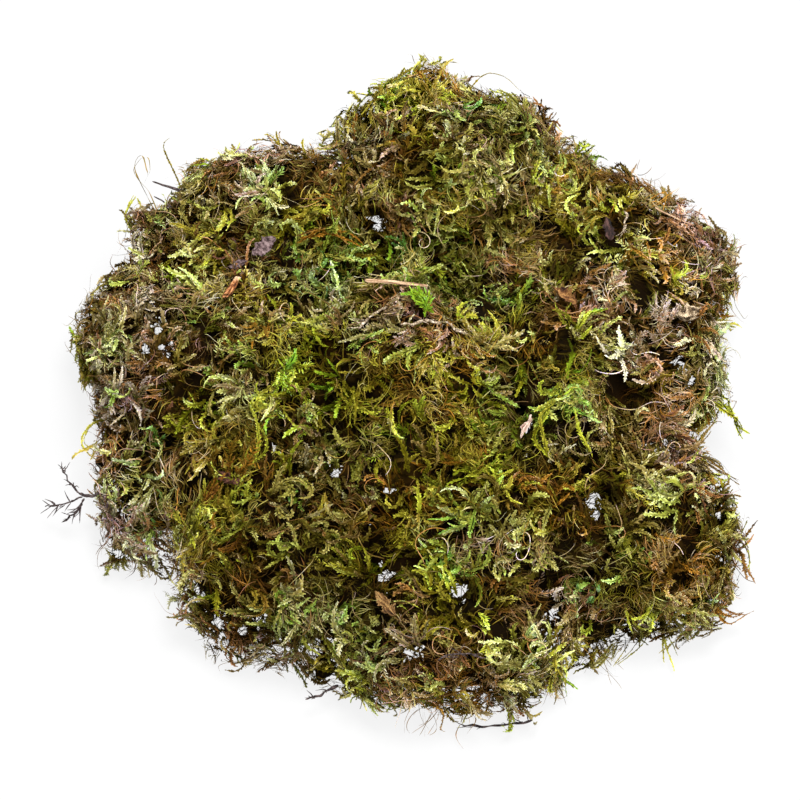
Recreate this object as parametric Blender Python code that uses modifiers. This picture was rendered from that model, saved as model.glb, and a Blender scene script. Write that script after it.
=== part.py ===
# A clump of dried forest moss lying loose on a flat surface. The clump is a low heap of
# tufts that were pulled up one by one and pressed together, so each tuft is a body of its
# own. Bits of forest litter lie on the tufts or stick out between them.
# Metres, +Z up, +X to the right, -Y to the front. The tufts rest on z = 0.
import math

import bmesh
import bpy
from mathutils import Matrix, Vector, noise
from mathutils.bvhtree import BVHTree

MM = 0.001

# Driving dimensions.
TUFT_GAP = 0.5 * MM  # between one tuft and the next
LITTER_GAP = 0.6 * MM  # between a bit of litter and the tuft under it
TUFT_FINENESS = 3  # subdivisions of the ball that a tuft starts from
LUMP_SHARE = 0.26  # height of a tuft's big lumps, as a share of its radius
KNOB_SHARE = 0.12  # height of its small lumps
LUMPS_ROUND = 1.5  # how closely the big lumps follow each other round a tuft
KNOBS_ROUND = 3.4  # the same for the small ones
FLOOR_DEPTH = 60 * MM  # of the block that cuts the undersides flat

ROUND_SIDES = 2  # bevel resolution of sticks and straws
LITTER_STEPS = 6  # points along a stick, and cells along a flake
SAMPLE_STEP = 1.5 * MM  # between the points where the heap's height is read

# Each tuft's centre and half sizes in mm, and its turn about z in degrees. An earlier tuft
# keeps its shape, and a later one gives way to it.
TUFTS = {
    "tuft_back": ((18, 70, 34), (38, 34, 40), 8),
    "tuft_middle": ((0, -4, 26), (40, 38, 40), 15),
    "tuft_back_left": ((-45, 57, 22), (36, 36, 31), -25),
    "tuft_back_right": ((64, 49, 24), (43, 33, 32), -28),
    "tuft_left": ((-74, 17, 18), (28, 40, 30), 10),
    "tuft_right": ((85, 17, 18), (27, 34, 29), -8),
    "tuft_middle_left": ((-42, 4, 22), (36, 40, 33), 0),
    "tuft_middle_right": ((44, 4, 24), (38, 40, 34), 30),
    "tuft_front_middle": ((30, -46, 20), (40, 34, 31), -10),
    "tuft_front_left": ((-34, -52, 15), (36, 35, 26), 20),
    "tuft_left_corner": ((-70, -22, 12), (25, 28, 20), -30),
    "tuft_front_right": ((78, -47, 15), (32, 34, 25), 15),
    "tuft_front": ((17, -77, 13), (42, 31, 22), -5),
}


# Bits that lie on the heap: plan places of the two ends, then radius at each end and the
# sideways bow between them, all in mm, and the material.
LYING_STICKS = {
    "straw_stalk": ((-11, 19), (9, 15.5), 0.75, 0.5, 0.3, "straw"),
    "straw_long": ((83, 57), (96, 54), 0.3, 0.2, -0.4, "straw"),
    "straw_short": ((88, 27), (93, 22), 0.4, 0.3, 0.2, "straw"),
    "root_pale": ((-13, 2), (-4, 9.5), 0.35, 0.6, 0.6, "pale_root"),
    "root_fork_long": ((0.5, 1), (13, 3.5), 0.6, 0.45, 0.8, "pale_root"),
    "root_fork_short": ((14.5, 4.5), (20.5, 1.5), 0.45, 0.35, -0.6, "pale_root"),
    "twig_grey": ((73, 51), (72, 42), 0.5, 0.35, 0.2, "pale_root"),
    "stem_dark_curved": ((12, -99), (26, -98), 0.35, 0.3, 1.8, "dead_twig"),
}

# Bits that stick out of the heap or lie beside it: root, a point on the way and tip in mm,
# then the radius at each end and the material.
FREE_STICKS = {
    "twiglet_stem": ((-97.6, -31, 16), (-99.6, -32, 16), (-102, -31, 16), 0.65, 0.5, "dead_twig"),
    "twiglet_branch_up": ((-103.2, -30.6, 16.5), (-106, -28, 18), (-108, -25, 21), 0.4, 0.3, "dead_twig"),
    "twiglet_branch_out": ((-103.2, -32, 15.1), (-107, -33, 13), (-113, -33, 12), 0.4, 0.2, "dead_twig"),
    "twiglet_branch_down": ((-102, -32.8, 14.4), (-104, -35, 11), (-107, -36, 8), 0.45, 0.35, "dead_twig"),
    "needle_thick": ((-72, 70.5, 38), (-76, 71.5, 38.6), (-81, 73, 39.5), 0.6, 0.3, "dead_twig"),
    "needle_thin": ((-74.4, 65, 36), (-77, 66.5, 37), (-80.5, 68, 38), 0.3, 0.25, "dead_twig"),
    "twig_dark": ((-19.5, -96, 9), (-24, -98.5, 8), (-29.5, -101, 8), 0.55, 0.35, "dead_twig"),
    "stick_dark": ((20, -106.4, 1.0), (31, -106.6, 1.2), (42, -104.8, 2), 0.45, 0.6, "dead_twig"),
}

# Flat bits: plan place of the middle, length, width and thickness in mm, heading in
# degrees, how far the long edges cup up and the ends curl up in mm, how blunt the ends
# are (0 is a rectangle, 1 is a pointed leaf) and the material.
FLAKES = {
    "bark_flake_purple": ((-44, 42), 9.5, 6.0, 0.6, 35, 0.8, 0.5, 0.55, "purple_bark"),
    "bark_scrap_purple": ((-52, 37), 6.5, 2.4, 0.5, 15, 0.3, 0.3, 0.4, "purple_bark"),
    "bark_piece_brown": ((67.5, 44), 8.5, 4.0, 0.9, 100, 1.0, 0.3, 0.5, "purple_bark"),
    "leaf_scrap_brown": ((44.5, 82), 4.8, 3.6, 0.4, 60, 0.4, 0.8, 0.8, "red_leaf"),
    "splinter_orange": ((-54, 26), 12.5, 4.2, 0.9, 58, 0.5, 0.4, 0.25, "orange_wood"),
    "wood_chip_pale": ((40, -24), 8.5, 3.0, 0.8, 60, 0.3, 0.4, 0.3, "pale_wood"),
    "leaf_orange_curled": ((52, 18), 11.0, 6.5, 0.4, -35, 2.0, 1.2, 0.9, "orange_leaf"),
    "leaf_red_brown": ((-54, -38), 9.5, 5.5, 0.4, -50, 1.2, 1.0, 0.8, "red_leaf"),
    "cone_scale": ((-4, -80), 13.0, 6.5, 0.7, -60, 1.3, 0.6, 0.85, "cone_scale"),
    "leaf_tan_crumpled": ((92, 16), 9.0, 6.5, 0.4, 40, 1.4, 1.5, 0.6, "tan_leaf"),
}

# Colour and roughness of each material.
FINISHES = {
    "moss": ((0.13, 0.11, 0.035), 0.9),
    "dead_twig": ((0.035, 0.025, 0.022), 0.85),
    "straw": ((0.55, 0.42, 0.26), 0.7),
    "pale_root": ((0.42, 0.36, 0.28), 0.85),
    "purple_bark": ((0.10, 0.06, 0.065), 0.8),
    "red_leaf": ((0.17, 0.07, 0.045), 0.75),
    "orange_wood": ((0.42, 0.17, 0.055), 0.8),
    "pale_wood": ((0.50, 0.37, 0.22), 0.8),
    "orange_leaf": ((0.36, 0.17, 0.04), 0.75),
    "cone_scale": ((0.17, 0.09, 0.04), 0.8),
    "tan_leaf": ((0.42, 0.30, 0.16), 0.8),
}


def clear_scene():
    for old in list(bpy.data.objects):
        bpy.data.objects.remove(old, do_unlink=True)


def new_collection(name):
    collection = bpy.data.collections.new(name)
    bpy.context.scene.collection.children.link(collection)
    return collection


def new_material(name, colour, roughness):
    material = bpy.data.materials.new(name)
    material.use_nodes = True
    shader = material.node_tree.nodes["Principled BSDF"]
    shader.inputs["Base Color"].default_value = (*colour, 1.0)
    shader.inputs["Roughness"].default_value = roughness
    shader.inputs["Metallic"].default_value = 0.0
    return material


def new_object(name, mesh, collection, material):
    thing = bpy.data.objects.new(name, mesh)
    collection.objects.link(thing)
    if material is not None:
        mesh.materials.append(material)
    return thing


def lumpy_ball(name, half, seed):
    """A ball stretched to the half sizes, with big and small lumps all round it."""
    shape = bmesh.new()
    bmesh.ops.create_icosphere(shape, subdivisions=TUFT_FINENESS, radius=1.0)
    for vert in shape.verts:
        way = vert.co.normalized()
        lumps = noise.noise(way * LUMPS_ROUND + seed * Vector((3.1, 1.7, 2.3)))
        knobs = noise.noise(way * KNOBS_ROUND + seed * Vector((1.3, 4.1, 0.7)))
        swell = 1.0 + LUMP_SHARE * lumps + KNOB_SHARE * knobs
        vert.co = Vector(side * reach * swell for side, reach in zip(way, half))
    mesh = bpy.data.meshes.new(name)
    shape.to_mesh(mesh)
    shape.free()
    return mesh


def cut_by(thing, cutter):
    cut = thing.modifiers.new("cut_by_" + cutter.name, "BOOLEAN")
    cut.operation = "DIFFERENCE"
    cut.solver = "EXACT"
    cut.object = cutter


def as_cutter(thing):
    thing.hide_render = True
    thing.display_type = "WIRE"
    return thing


def floor_cutter(cutters):
    shape = bmesh.new()
    bmesh.ops.create_cube(shape, size=1.0)
    mesh = bpy.data.meshes.new("floor_block")
    shape.to_mesh(mesh)
    shape.free()
    mesh.transform(Matrix.Diagonal((0.4, 0.4, FLOOR_DEPTH, 1.0)))
    block = as_cutter(new_object("floor_block", mesh, cutters, None))
    block.location.z = -FLOOR_DEPTH / 2
    return block


def build_tufts(parts, cutters, moss):
    floor = floor_cutter(cutters)
    earlier = []
    tufts = []
    for seed, (name, (centre, half, turn)) in enumerate(TUFTS.items()):
        half = [side * MM for side in half]
        tuft = new_object(name, lumpy_ball(name, half, seed), parts, moss)
        tuft.location = Vector(centre) * MM
        tuft.rotation_euler.z = math.radians(turn)
        cut_by(tuft, floor)
        for other in earlier:
            apart = (other.location - tuft.location).length
            if apart < 1.1 * (max(half) + max(other.dimensions) / 2):
                cut_by(tuft, other)
        room = new_object("room_round_" + name, tuft.data.copy(), cutters, None)
        room.matrix_basis = tuft.matrix_basis
        grow = room.modifiers.new("gap", "DISPLACE")
        grow.mid_level = 0.0
        grow.strength = TUFT_GAP
        earlier.append(as_cutter(room))
        tufts.append(tuft)
    return tufts


def surface_tree(things):
    """A search tree of the shown surface of all these objects."""
    graph = bpy.context.evaluated_depsgraph_get()
    heap = bmesh.new()
    for thing in things:
        mesh = bpy.data.meshes.new_from_object(thing.evaluated_get(graph))
        mesh.transform(thing.matrix_world)
        heap.from_mesh(mesh)
        bpy.data.meshes.remove(mesh)
    tree = BVHTree.FromBMesh(heap)
    heap.free()
    return tree


def height_at(tree, x, y):
    """The heap's height over a plan place, which is 0 beside the heap."""
    hit = tree.ray_cast(Vector((x, y, 1.0)), Vector((0, 0, -1)))[0]
    return hit.z if hit is not None else 0.0


def stick(name, points, first_radius, last_radius, parts, material):
    """A round stick through the points, thinning evenly from its first end to its last."""
    curve = bpy.data.curves.new(name, "CURVE")
    curve.dimensions = "3D"
    curve.bevel_depth = 1.0
    curve.bevel_resolution = ROUND_SIDES
    curve.use_fill_caps = True
    spline = curve.splines.new("POLY")
    spline.points.add(len(points) - 1)
    for step, (point, place) in enumerate(zip(spline.points, points)):
        part_way = step / (len(points) - 1)
        point.co = (*place, 1.0)
        point.radius = first_radius + (last_radius - first_radius) * part_way
    curve.materials.append(material)
    thing = bpy.data.objects.new(name, curve)
    parts.objects.link(thing)
    return thing


def lay_stick(name, spec, tree, parts, finishes):
    """A stick that lies along the heap, as low as its highest bump lets it."""
    start, end, first_radius, last_radius, bow, finish = spec
    start = Vector(start) * MM
    end = Vector(end) * MM
    along = end - start
    side = Vector((-along.y, along.x)).normalized()
    count = max(4, round(along.length / SAMPLE_STEP))
    shares = [step / count for step in range(count + 1)]
    plan = [start + along * u + side * bow * MM * math.sin(math.pi * u) for u in shares]
    heights = [height_at(tree, *place) for place in plan]
    slope = heights[-1] - heights[0]
    lift = max(h - heights[0] - slope * u for h, u in zip(heights, shares))
    base = heights[0] + lift + LITTER_GAP + first_radius * MM
    picked = [round(step * count / LITTER_STEPS) for step in range(LITTER_STEPS + 1)]
    points = [(*plan[k], base + slope * shares[k]) for k in picked]
    material = finishes[finish]
    return stick(name, points, first_radius * MM, last_radius * MM, parts, material)


def free_stick(name, spec, parts, finishes):
    """A stick along a smooth arc through three points in space."""
    root, middle, tip, first_radius, last_radius, finish = spec
    root = Vector(root) * MM
    tip = Vector(tip) * MM
    pull = Vector(middle) * MM * 2 - (root + tip) / 2  # the arc's control point
    points = []
    for step in range(LITTER_STEPS + 1):
        u = step / LITTER_STEPS
        points.append(root * (1 - u) ** 2 + pull * 2 * u * (1 - u) + tip * u ** 2)
    material = finishes[finish]
    return stick(name, points, first_radius * MM, last_radius * MM, parts, material)


def lay_flake(name, spec, tree, parts, finishes):
    """A thin curved flake that rests on the heap and leans as the heap does there."""
    middle, length, width, thick, heading, cup, curl, taper, finish = spec
    shape = bmesh.new()
    bmesh.ops.create_grid(shape, x_segments=LITTER_STEPS, y_segments=4, size=0.5)
    for vert in shape.verts:
        u = 2 * vert.co.x  # -1 to 1 along the flake
        v = 2 * vert.co.y  # -1 to 1 across it
        narrow = 1 - taper * u * u
        vert.co.x = u * length / 2 * MM
        vert.co.y = v * narrow * width / 2 * MM
        vert.co.z = (cup * v * v * narrow + curl * u * u) * MM
    mesh = bpy.data.meshes.new(name)
    shape.to_mesh(mesh)
    shape.free()
    flake = new_object(name, mesh, parts, finishes[finish])

    turn = Matrix.Rotation(math.radians(heading), 3, "Z")
    middle = Vector((*middle, 0)) * MM
    ahead = turn @ Vector((length / 2 * MM, 0, 0))
    aside = turn @ Vector((0, width / 2 * MM, 0))

    def lean(reach):
        """The line between the heap's surface on either side of the middle."""
        near = middle - reach
        far = middle + reach
        return Vector((*(far - near).xy, height_at(tree, *far.xy) - height_at(tree, *near.xy)))

    x_axis = lean(ahead).normalized()
    z_axis = x_axis.cross(lean(aside)).normalized()
    y_axis = z_axis.cross(x_axis)
    turn = Matrix((x_axis, y_axis, z_axis)).transposed()
    lift = 0.0
    for vert in mesh.vertices:
        place = middle + turn @ vert.co
        lift = max(lift, height_at(tree, *place.xy) - place.z)
    flake.matrix_world = Matrix.Translation(middle + Vector((0, 0, lift + LITTER_GAP))) @ turn.to_4x4()
    shell = flake.modifiers.new("thickness", "SOLIDIFY")
    shell.thickness = thick * MM
    shell.offset = 1.0
    return flake


def centre_on_origin(things, parts):
    """Shifts everything sideways so that the middle of the clump's box is at x = y = 0."""
    graph = bpy.context.evaluated_depsgraph_get()
    graph.update()
    corners = []
    for part in parts.objects:
        shown = part.evaluated_get(graph)
        mesh = shown.to_mesh()
        corners += [shown.matrix_world @ vert.co for vert in mesh.vertices]
        shown.to_mesh_clear()
    for axis in (0, 1):
        places = [corner[axis] for corner in corners]
        middle = (min(places) + max(places)) / 2
        for thing in things:
            thing.location[axis] -= middle


def main():
    clear_scene()
    parts = new_collection("moss_clump")
    cutters = new_collection("cutters")
    finishes = {name: new_material(name, *look) for name, look in FINISHES.items()}
    tufts = build_tufts(parts, cutters, finishes["moss"])
    bpy.context.view_layer.update()
    tree = surface_tree(tufts)
    for name, spec in LYING_STICKS.items():
        lay_stick(name, spec, tree, parts, finishes)
    for name, spec in FREE_STICKS.items():
        free_stick(name, spec, parts, finishes)
    for name, spec in FLAKES.items():
        lay_flake(name, spec, tree, parts, finishes)
    bpy.context.view_layer.update()
    centre_on_origin([*parts.objects, *cutters.objects], parts)


main()
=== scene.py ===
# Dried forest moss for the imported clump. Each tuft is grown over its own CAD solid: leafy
# shoots, fronds, mats of fine old stems and wiry runners, over a matted heart that is painted
# almost black as shade.
# The litter that lies on the moss keeps its CAD place and gets its own finish.
# The frame is in metres. Sizes in the dictionaries are in millimetres.
import itertools
import math

import bpy
import numpy as np
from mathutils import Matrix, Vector
from mathutils.bvhtree import BVHTree


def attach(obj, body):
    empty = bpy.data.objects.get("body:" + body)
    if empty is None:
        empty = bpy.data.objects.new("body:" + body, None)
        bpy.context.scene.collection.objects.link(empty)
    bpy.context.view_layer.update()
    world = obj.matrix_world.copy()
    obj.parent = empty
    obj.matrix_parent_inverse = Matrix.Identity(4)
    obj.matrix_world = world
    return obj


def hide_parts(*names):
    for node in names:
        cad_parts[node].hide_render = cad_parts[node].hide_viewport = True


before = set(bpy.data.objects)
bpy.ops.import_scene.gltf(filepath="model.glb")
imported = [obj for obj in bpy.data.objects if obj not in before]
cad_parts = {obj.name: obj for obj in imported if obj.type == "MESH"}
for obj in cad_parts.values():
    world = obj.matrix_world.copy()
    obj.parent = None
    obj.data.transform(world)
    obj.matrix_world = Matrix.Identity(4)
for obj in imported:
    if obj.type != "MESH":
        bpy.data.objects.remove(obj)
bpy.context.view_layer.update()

mm = 0.001
rng = np.random.default_rng(11)

# The camera, in degrees and metres. The gaps between tufts are open along its lines of sight.
cameraLook = {"elevation": 60, "distance": 1.60, "lens": 223, "aim": (0.0003, -0.002, 0.0246)}
tuftNames = sorted(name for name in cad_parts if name.startswith("tuft_"))
litterNames = [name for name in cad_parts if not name.startswith("tuft_")]


def unit(vectors):
    # each vector over its own length
    return vectors / np.maximum(np.linalg.norm(vectors, axis=-1, keepdims=True), 1e-9)


def smoothStep(low, high, value):
    # 3t^2 - 2t^3, with t the value's share of the way from low to high
    share = np.clip((value - low) / (high - low), 0, 1)
    return share * share * (3 - 2 * share)


def readGrid(grid, origin, cell, points):
    # the grid's eight corners round each point, weighted by nearness along each axis
    at = (points - origin) / cell
    at = np.clip(at, 0, np.array(grid.shape[:3]) - 1.001)
    low = np.floor(at).astype(int)
    part = at - low
    total = 0
    for corner in range(8):
        step = np.array([corner >> 2 & 1, corner >> 1 & 1, corner & 1])
        weight = np.prod(np.where(step == 1, part, 1 - part), axis=-1)
        where = low + step
        value = grid[where[..., 0], where[..., 1], where[..., 2]]
        total = total + (value * weight[..., None] if value.ndim > weight.ndim else value * weight)
    return total


def makeNoise(seed, size, channels):
    # random numbers from -1 to 1 on a lattice of that size, read between its points
    lattice = np.random.default_rng(seed).uniform(-1, 1, (48, 48, 24, channels))
    origin = np.array([-0.15, -0.15, -0.02])
    shape = np.array([47, 47, 23])

    def noise(points):
        at = (points - origin) / (size * mm)
        folded = np.abs((at + shape) % (2 * shape) - shape)  # mirrors the lattice past its ends
        return readGrid(lattice, np.zeros(3), 1.0, folded)

    return noise


def numbering(rows, columns, stride):
    # row times stride plus column, for every row and column
    return np.arange(rows)[:, None] * stride + np.arange(columns)


def triangles(first, second, third):
    # rows of three vertex numbers, from three arrays of them
    return np.stack([first, second, third], -1).reshape(-1, 3)


def joinParts(parts):
    # The vertices and triangles of all parts in one mesh: a part's vertex numbers grow by the
    # number of vertices before it.
    offsets = np.cumsum([0] + [len(part[0]) for part in parts])
    corners = np.concatenate([part[1] + offset for part, offset in zip(parts, offsets)])
    return np.concatenate([part[0] for part in parts]), corners


def treeOf(places, corners):
    # a search tree of triangles, for rays and nearest places
    return BVHTree.FromPolygons([Vector(place) for place in places.tolist()], corners.tolist())


def meshArrays(name):
    # a CAD node's vertices in metres and its triangles' vertex numbers
    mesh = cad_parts[name].data
    mesh.calc_loop_triangles()
    places = np.empty(len(mesh.vertices) * 3, np.float32)
    mesh.vertices.foreach_get("co", places)
    corners = np.empty(len(mesh.loop_triangles) * 3, np.int32)
    mesh.loop_triangles.foreach_get("vertices", corners)
    return places.reshape(-1, 3).astype(float), corners.reshape(-1, 3)


heapLook = {
    "contact": 2.5,  # a face with another tuft this close in front of it is hidden
    "cell": 2.5,  # spacing of the depth grid
    "margin": 16.0,  # how far the grid runs past the heap
    "underside": -0.6,  # faces that look down more than this are under the heap
    "filling": 45,  # rounds that fill the creases between tufts
    "softening": 2,  # rounds of blurring over everything
}

# Where loose moss spreads past the tufts, and where a tuft is eaten away: centre and radius.
spills = [
    (9, 92, 56, 11), (-2, 92, 53, 9), (18, 93, 54, 8), (102, 54, 28, 8), (-11, 90, 43, 10),
    (58, 80, 36, 7), (41, 92, 48, 7), (99, 46, 22, 11), (97, 58, 26, 9), (-90, -18, 15, 9),
    (-93, 2, 16, 8), (-76, 56, 30, 11), (47, 88, 50, 5), (-101, 32, 17, 6), (-96, -20, 16, 6),
    (-83, 60, 35, 6), (60, -73, 10, 9), (71, -72, 8, 8), (-88, -47, 7, 8), (63, -78, 6, 9),
    (-25, -92, 6, 7), (-52, -80, 6, 8), (-97, 28, 14, 7),
]
dents = [
    (117, 15, 18, 15), (120, 28, 10, 17), (120, 10, 6, 17), (120, 22, 30, 17), (104, -20, 12, 9),
    (-30, 98, 22, 9), (4, -114, 4, 13), (-14, -113, 4, 12), (27, -115, 4, 11), (-74, -66, 5, 10),
    (-82, -59, 4, 8),
]
pits = [  # hollows between shoots, where fewer stems start and painted shade darkens the moss: centre and radius
    (52, 31, 52, 7), (78, 26, 48, 6), (52, -2, 57, 5.5), (67, -42, 40, 6), (-8, 46, 60, 4.5),
    (68, 43, 54, 5.5), (-24, -20, 56, 4), (28, 40, 62, 4.5), (-60, 8, 50, 4.5), (22, -78, 36, 4.5),
    (-8, -62, 38, 4), (-70, -30, 34, 4.5), (34, -50, 46, 4.5), (-36, 62, 50, 4.5), (-30, 10, 62, 4),
]

tuftArrays = {name: meshArrays(name) for name in tuftNames}
tuftTrees = {name: treeOf(*tuftArrays[name]) for name in tuftNames}


def readTufts():
    # Every tuft's triangles that show, and which tuft each is from. A triangle is hidden where
    # a short ray along its normal meets another tuft.
    kept = []
    owners = []
    reach = heapLook["contact"] * mm
    for owner, name in enumerate(tuftNames):
        places, corners = tuftArrays[name]
        sides = places[corners]
        normals = unit(np.cross(sides[:, 1] - sides[:, 0], sides[:, 2] - sides[:, 0]))
        others = [tuftTrees[other] for other in tuftNames if other != name]
        rays = zip(sides.mean(1).tolist(), normals.tolist())
        hidden = np.array([
            any(tree.ray_cast(Vector(middle), Vector(normal), reach)[0] for tree in others)
            for middle, normal in rays])
        shown = ~hidden & (normals[:, 2] > heapLook["underside"])
        kept.append(sides[shown])
        owners.append(np.full(int(shown.sum()), owner))
    return np.concatenate(kept), np.concatenate(owners)


def blur(field, rounds):
    # each point becomes a quarter of both neighbours and half of itself, along each axis
    for _ in range(rounds):
        for axis in range(3):
            count = field.shape[axis]
            padded = np.concatenate([field.take([0], axis), field, field.take([-1], axis)], axis)
            before = padded.take(range(count), axis)
            after = padded.take(range(2, count + 2), axis)
            field = (before + 2 * field + after) / 4
    return field


def insideGrid(axes):
    # 1 inside the heap and 0 outside: upward rays pair off where they enter and leave a tuft
    counts = [len(axis) for axis in axes]
    inside = np.zeros(counts)
    for name in tuftNames:
        tree = tuftTrees[name]
        places = tuftArrays[name][0]
        low = places.min(0)
        high = places.max(0)
        columns, rows = [
            np.argwhere((axes[axis] >= low[axis]) & (axes[axis] <= high[axis]))[:, 0].tolist()
            for axis in range(2)]
        for column, row in itertools.product(columns, rows):
            foot = Vector((axes[0][column], axes[1][row], -10 * mm))
            crossings = []
            while len(crossings) < 12:
                hit = tree.ray_cast(foot, Vector((0, 0, 1)))[0]
                if hit is None:
                    break
                crossings.append(hit.z)
                foot.z = hit.z + 0.05 * mm
            for enter, leave in zip(crossings[::2], crossings[1::2]):
                inside[column, row, (axes[2] > enter) & (axes[2] < leave)] = 1
    return (blur(inside, 1) > 0.5).astype(float)  # the blur closes the thin gaps between tufts


def depthGrid():
    # Distance in mm from each grid point to the nearest shown face, negative inside the heap,
    # then joined with the spills, filled in its creases and cut by the dents.
    corners = faces.reshape(-1, 3)
    cell = heapLook["cell"] * mm
    low = corners.min(0) - heapLook["margin"] * mm
    high = corners.max(0) + heapLook["margin"] * mm
    counts = np.ceil((high - low) / cell).astype(int) + 1
    axes = [low[axis] + cell * np.arange(counts[axis]) for axis in range(3)]
    points = np.stack(np.meshgrid(*axes, indexing="ij"), -1).reshape(-1, 3)
    apart = np.array([faceTree.find_nearest(Vector(point))[3] for point in points.tolist()]).reshape(counts)
    depth = np.where(insideGrid(axes) > 0.5, -apart, apart) / mm
    points = points.reshape(*counts, 3) / mm
    for x, y, z, radius in spills:
        depth = np.minimum(depth, np.linalg.norm(points - (x, y, z), axis=-1) - radius)
    for _ in range(heapLook["filling"]):  # a blurred crease is nearer, a blurred hump isn't
        depth = np.minimum(depth, blur(depth, 1))
    for x, y, z, radius in dents:
        depth = np.maximum(depth, radius - np.linalg.norm(points - (x, y, z), axis=-1))
    depth = blur(depth, heapLook["softening"])
    slope = np.stack(np.gradient(depth), -1)
    return depth, slope, low, cell


faces, faceOwner = readTufts()
faceTree = treeOf(faces.reshape(-1, 3), np.arange(faces.size // 3).reshape(-1, 3))
depthField, slopeField, gridLow, gridCell = depthGrid()
surfaceCells = np.argwhere(np.abs(depthField) < 3)  # within 3 mm of the surface
print("heap read:", len(faces), "shown faces, grid", depthField.shape)


def ownersOf(points):
    # the tuft whose shown face is nearest to each point
    return np.array([faceOwner[faceTree.find_nearest(Vector(point))[2]] for point in points.tolist()])


def depthAt(points):
    # height in mm over the heap's surface, negative inside it
    return readGrid(depthField, gridLow, gridCell, points)


def outwardAt(points):
    # the direction in which the depth grid grows fastest
    return unit(readGrid(slopeField, gridLow, gridCell, points))


def pitAt(points):
    # 1 in the middle of a pit, 0 outside it
    deepest = np.zeros(points.shape[:-1])
    for x, y, z, radius in pits:
        gap = np.linalg.norm(points / mm - (x, y, z), axis=-1)
        deepest = np.maximum(deepest, smoothStep(radius * 1.1, radius * 0.6, gap))
    return deepest


# noises: seed, size in mm and how many numbers
flowNoise = makeNoise(3, 13, 3)  # combs neighbouring stems the same way
bendNoise = makeNoise(4, 5, 3)  # bends single stems
hueNoise = makeNoise(5, 17, 3)  # colours whole patches
patchNoise = makeNoise(6, 7, 2)  # colours within a patch
hollowNoise = makeNoise(8, 9, 2)  # hollows and humps

reliefLook = {"wide": 3.0, "narrow": 3.6}  # how far hollows and humps depart from the tufts


def relief(points):
    # height in mm of the moss over the tuft's own surface: two noises, one twice as fine
    return (reliefLook["wide"] * hollowNoise(points)[..., 0]
            + reliefLook["narrow"] * hollowNoise(points * 2.1 + 0.03)[..., 1])


# See-through gaps between tufts: where the line from the eye meets the floor, and the radius.
gaps = [
    (62, -26, 2.2), (64, -31, 2.0), (-84, 31, 1.6), (-78, 32, 1.5), (-80, 39, 1.6), (5, -82, 1.9),
    (-7, 80, 1.8), (-43, -70, 1.5), (-58, -70, 2.0), (-50, -73, 1.7), (-62, -65, 1.4), (93, 27, 2.0),
    (97, 19, 1.6), (73, -76, 2.0), (59, -84, 2.0), (98, 41, 1.8), (-21, -16, 1.6), (-2, -21, 1.4),
    (-4, -52, 1.7), (20, -59, 1.7), (103, -31, 2.0), (41, -98, 1.8), (-91, -46, 1.7), (42, 1, 1.5),
]


def eyePlace():
    # the aim, and from there the distance backwards and up at the elevation
    rise = math.radians(cameraLook["elevation"])
    back = np.array([0, -math.cos(rise), math.sin(rise)])
    return np.array(cameraLook["aim"]) + back * cameraLook["distance"]


def gapLines():
    # a foot on the floor, a direction to the eye and a radius for every gap
    feet = np.array([(x, y, 0) for x, y, _ in gaps]) * mm
    return list(zip(feet, unit(eyePlace() - feet), [radius for *_, radius in gaps]))


def acrossLine(points, foot, way):
    # the part of each point's offset from the foot that is square to the line
    away = points - foot
    return away - (away @ way)[..., None] * way


def gapAt(points):
    # 1 beside a gap's line, 0 from 3 mm outside its radius: where painted shade darkens the moss round a gap
    nearest = np.zeros(points.shape[:-1])
    for foot, way, radius in gapLines():
        apart = np.linalg.norm(acrossLine(points, foot, way), axis=-1) / mm
        nearest = np.maximum(nearest, smoothStep(radius + 3, radius, apart))
    return nearest


def inGap(points, more):
    # true nearer to a gap's line than its radius, which a fine noise across the line makes ragged
    inside = np.zeros(len(points), bool)
    for foot, way, radius in gapLines():
        flat = acrossLine(points, foot, way)
        apart = np.linalg.norm(flat, axis=1) / mm
        close = np.argwhere(apart < radius * 2.2 + more)[:, 0]
        flat = flat[close]
        ragged = 0.75 + 0.9 * bendNoise(foot + flat * 2.6)[:, 0] + 0.5 * bendNoise(foot + flat * 5)[:, 1]
        inside[close] |= apart[close] < radius * ragged + more
    return inside


def scatter(count, keep):
    # Points spread evenly over the heap's surface: random ones within a millimetre of it are
    # kept, unless they lie under the heap, and thinned by the keep weight.
    tries = 22 if keep else 8  # for each point that is wanted
    cells = surfaceCells[rng.integers(0, len(surfaceCells), count * tries)]
    points = gridLow + (cells + rng.uniform(-0.5, 0.5, cells.shape)) * gridCell
    above = (points[:, 2] > 1.5 * mm) & (outwardAt(points)[:, 2] > heapLook["underside"])
    points = points[(np.abs(depthAt(points)) < 1) & above]
    points = points[rng.random(len(points)) > pitAt(points)]
    if keep:
        weight = keep(points)
        points = points[rng.choice(len(points), count, replace=False, p=weight / weight.sum())]
    points = settle(points[:count], 0)
    return points, ownersOf(points)


def settle(points, depth):
    # moves points along the outward direction until they lie at that depth
    for _ in range(3):
        points = points + outwardAt(points) * (depth - depthAt(points))[:, None] * mm
    return points


stemLook = {
    "hold": 0.35,  # how strongly a stem leans towards its wanted height
    "flatten": 0.35,  # the share of its heading out of the surface that it loses at each step
    "drift": 0.16,  # how far the smooth noise turns it at each step
}


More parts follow.
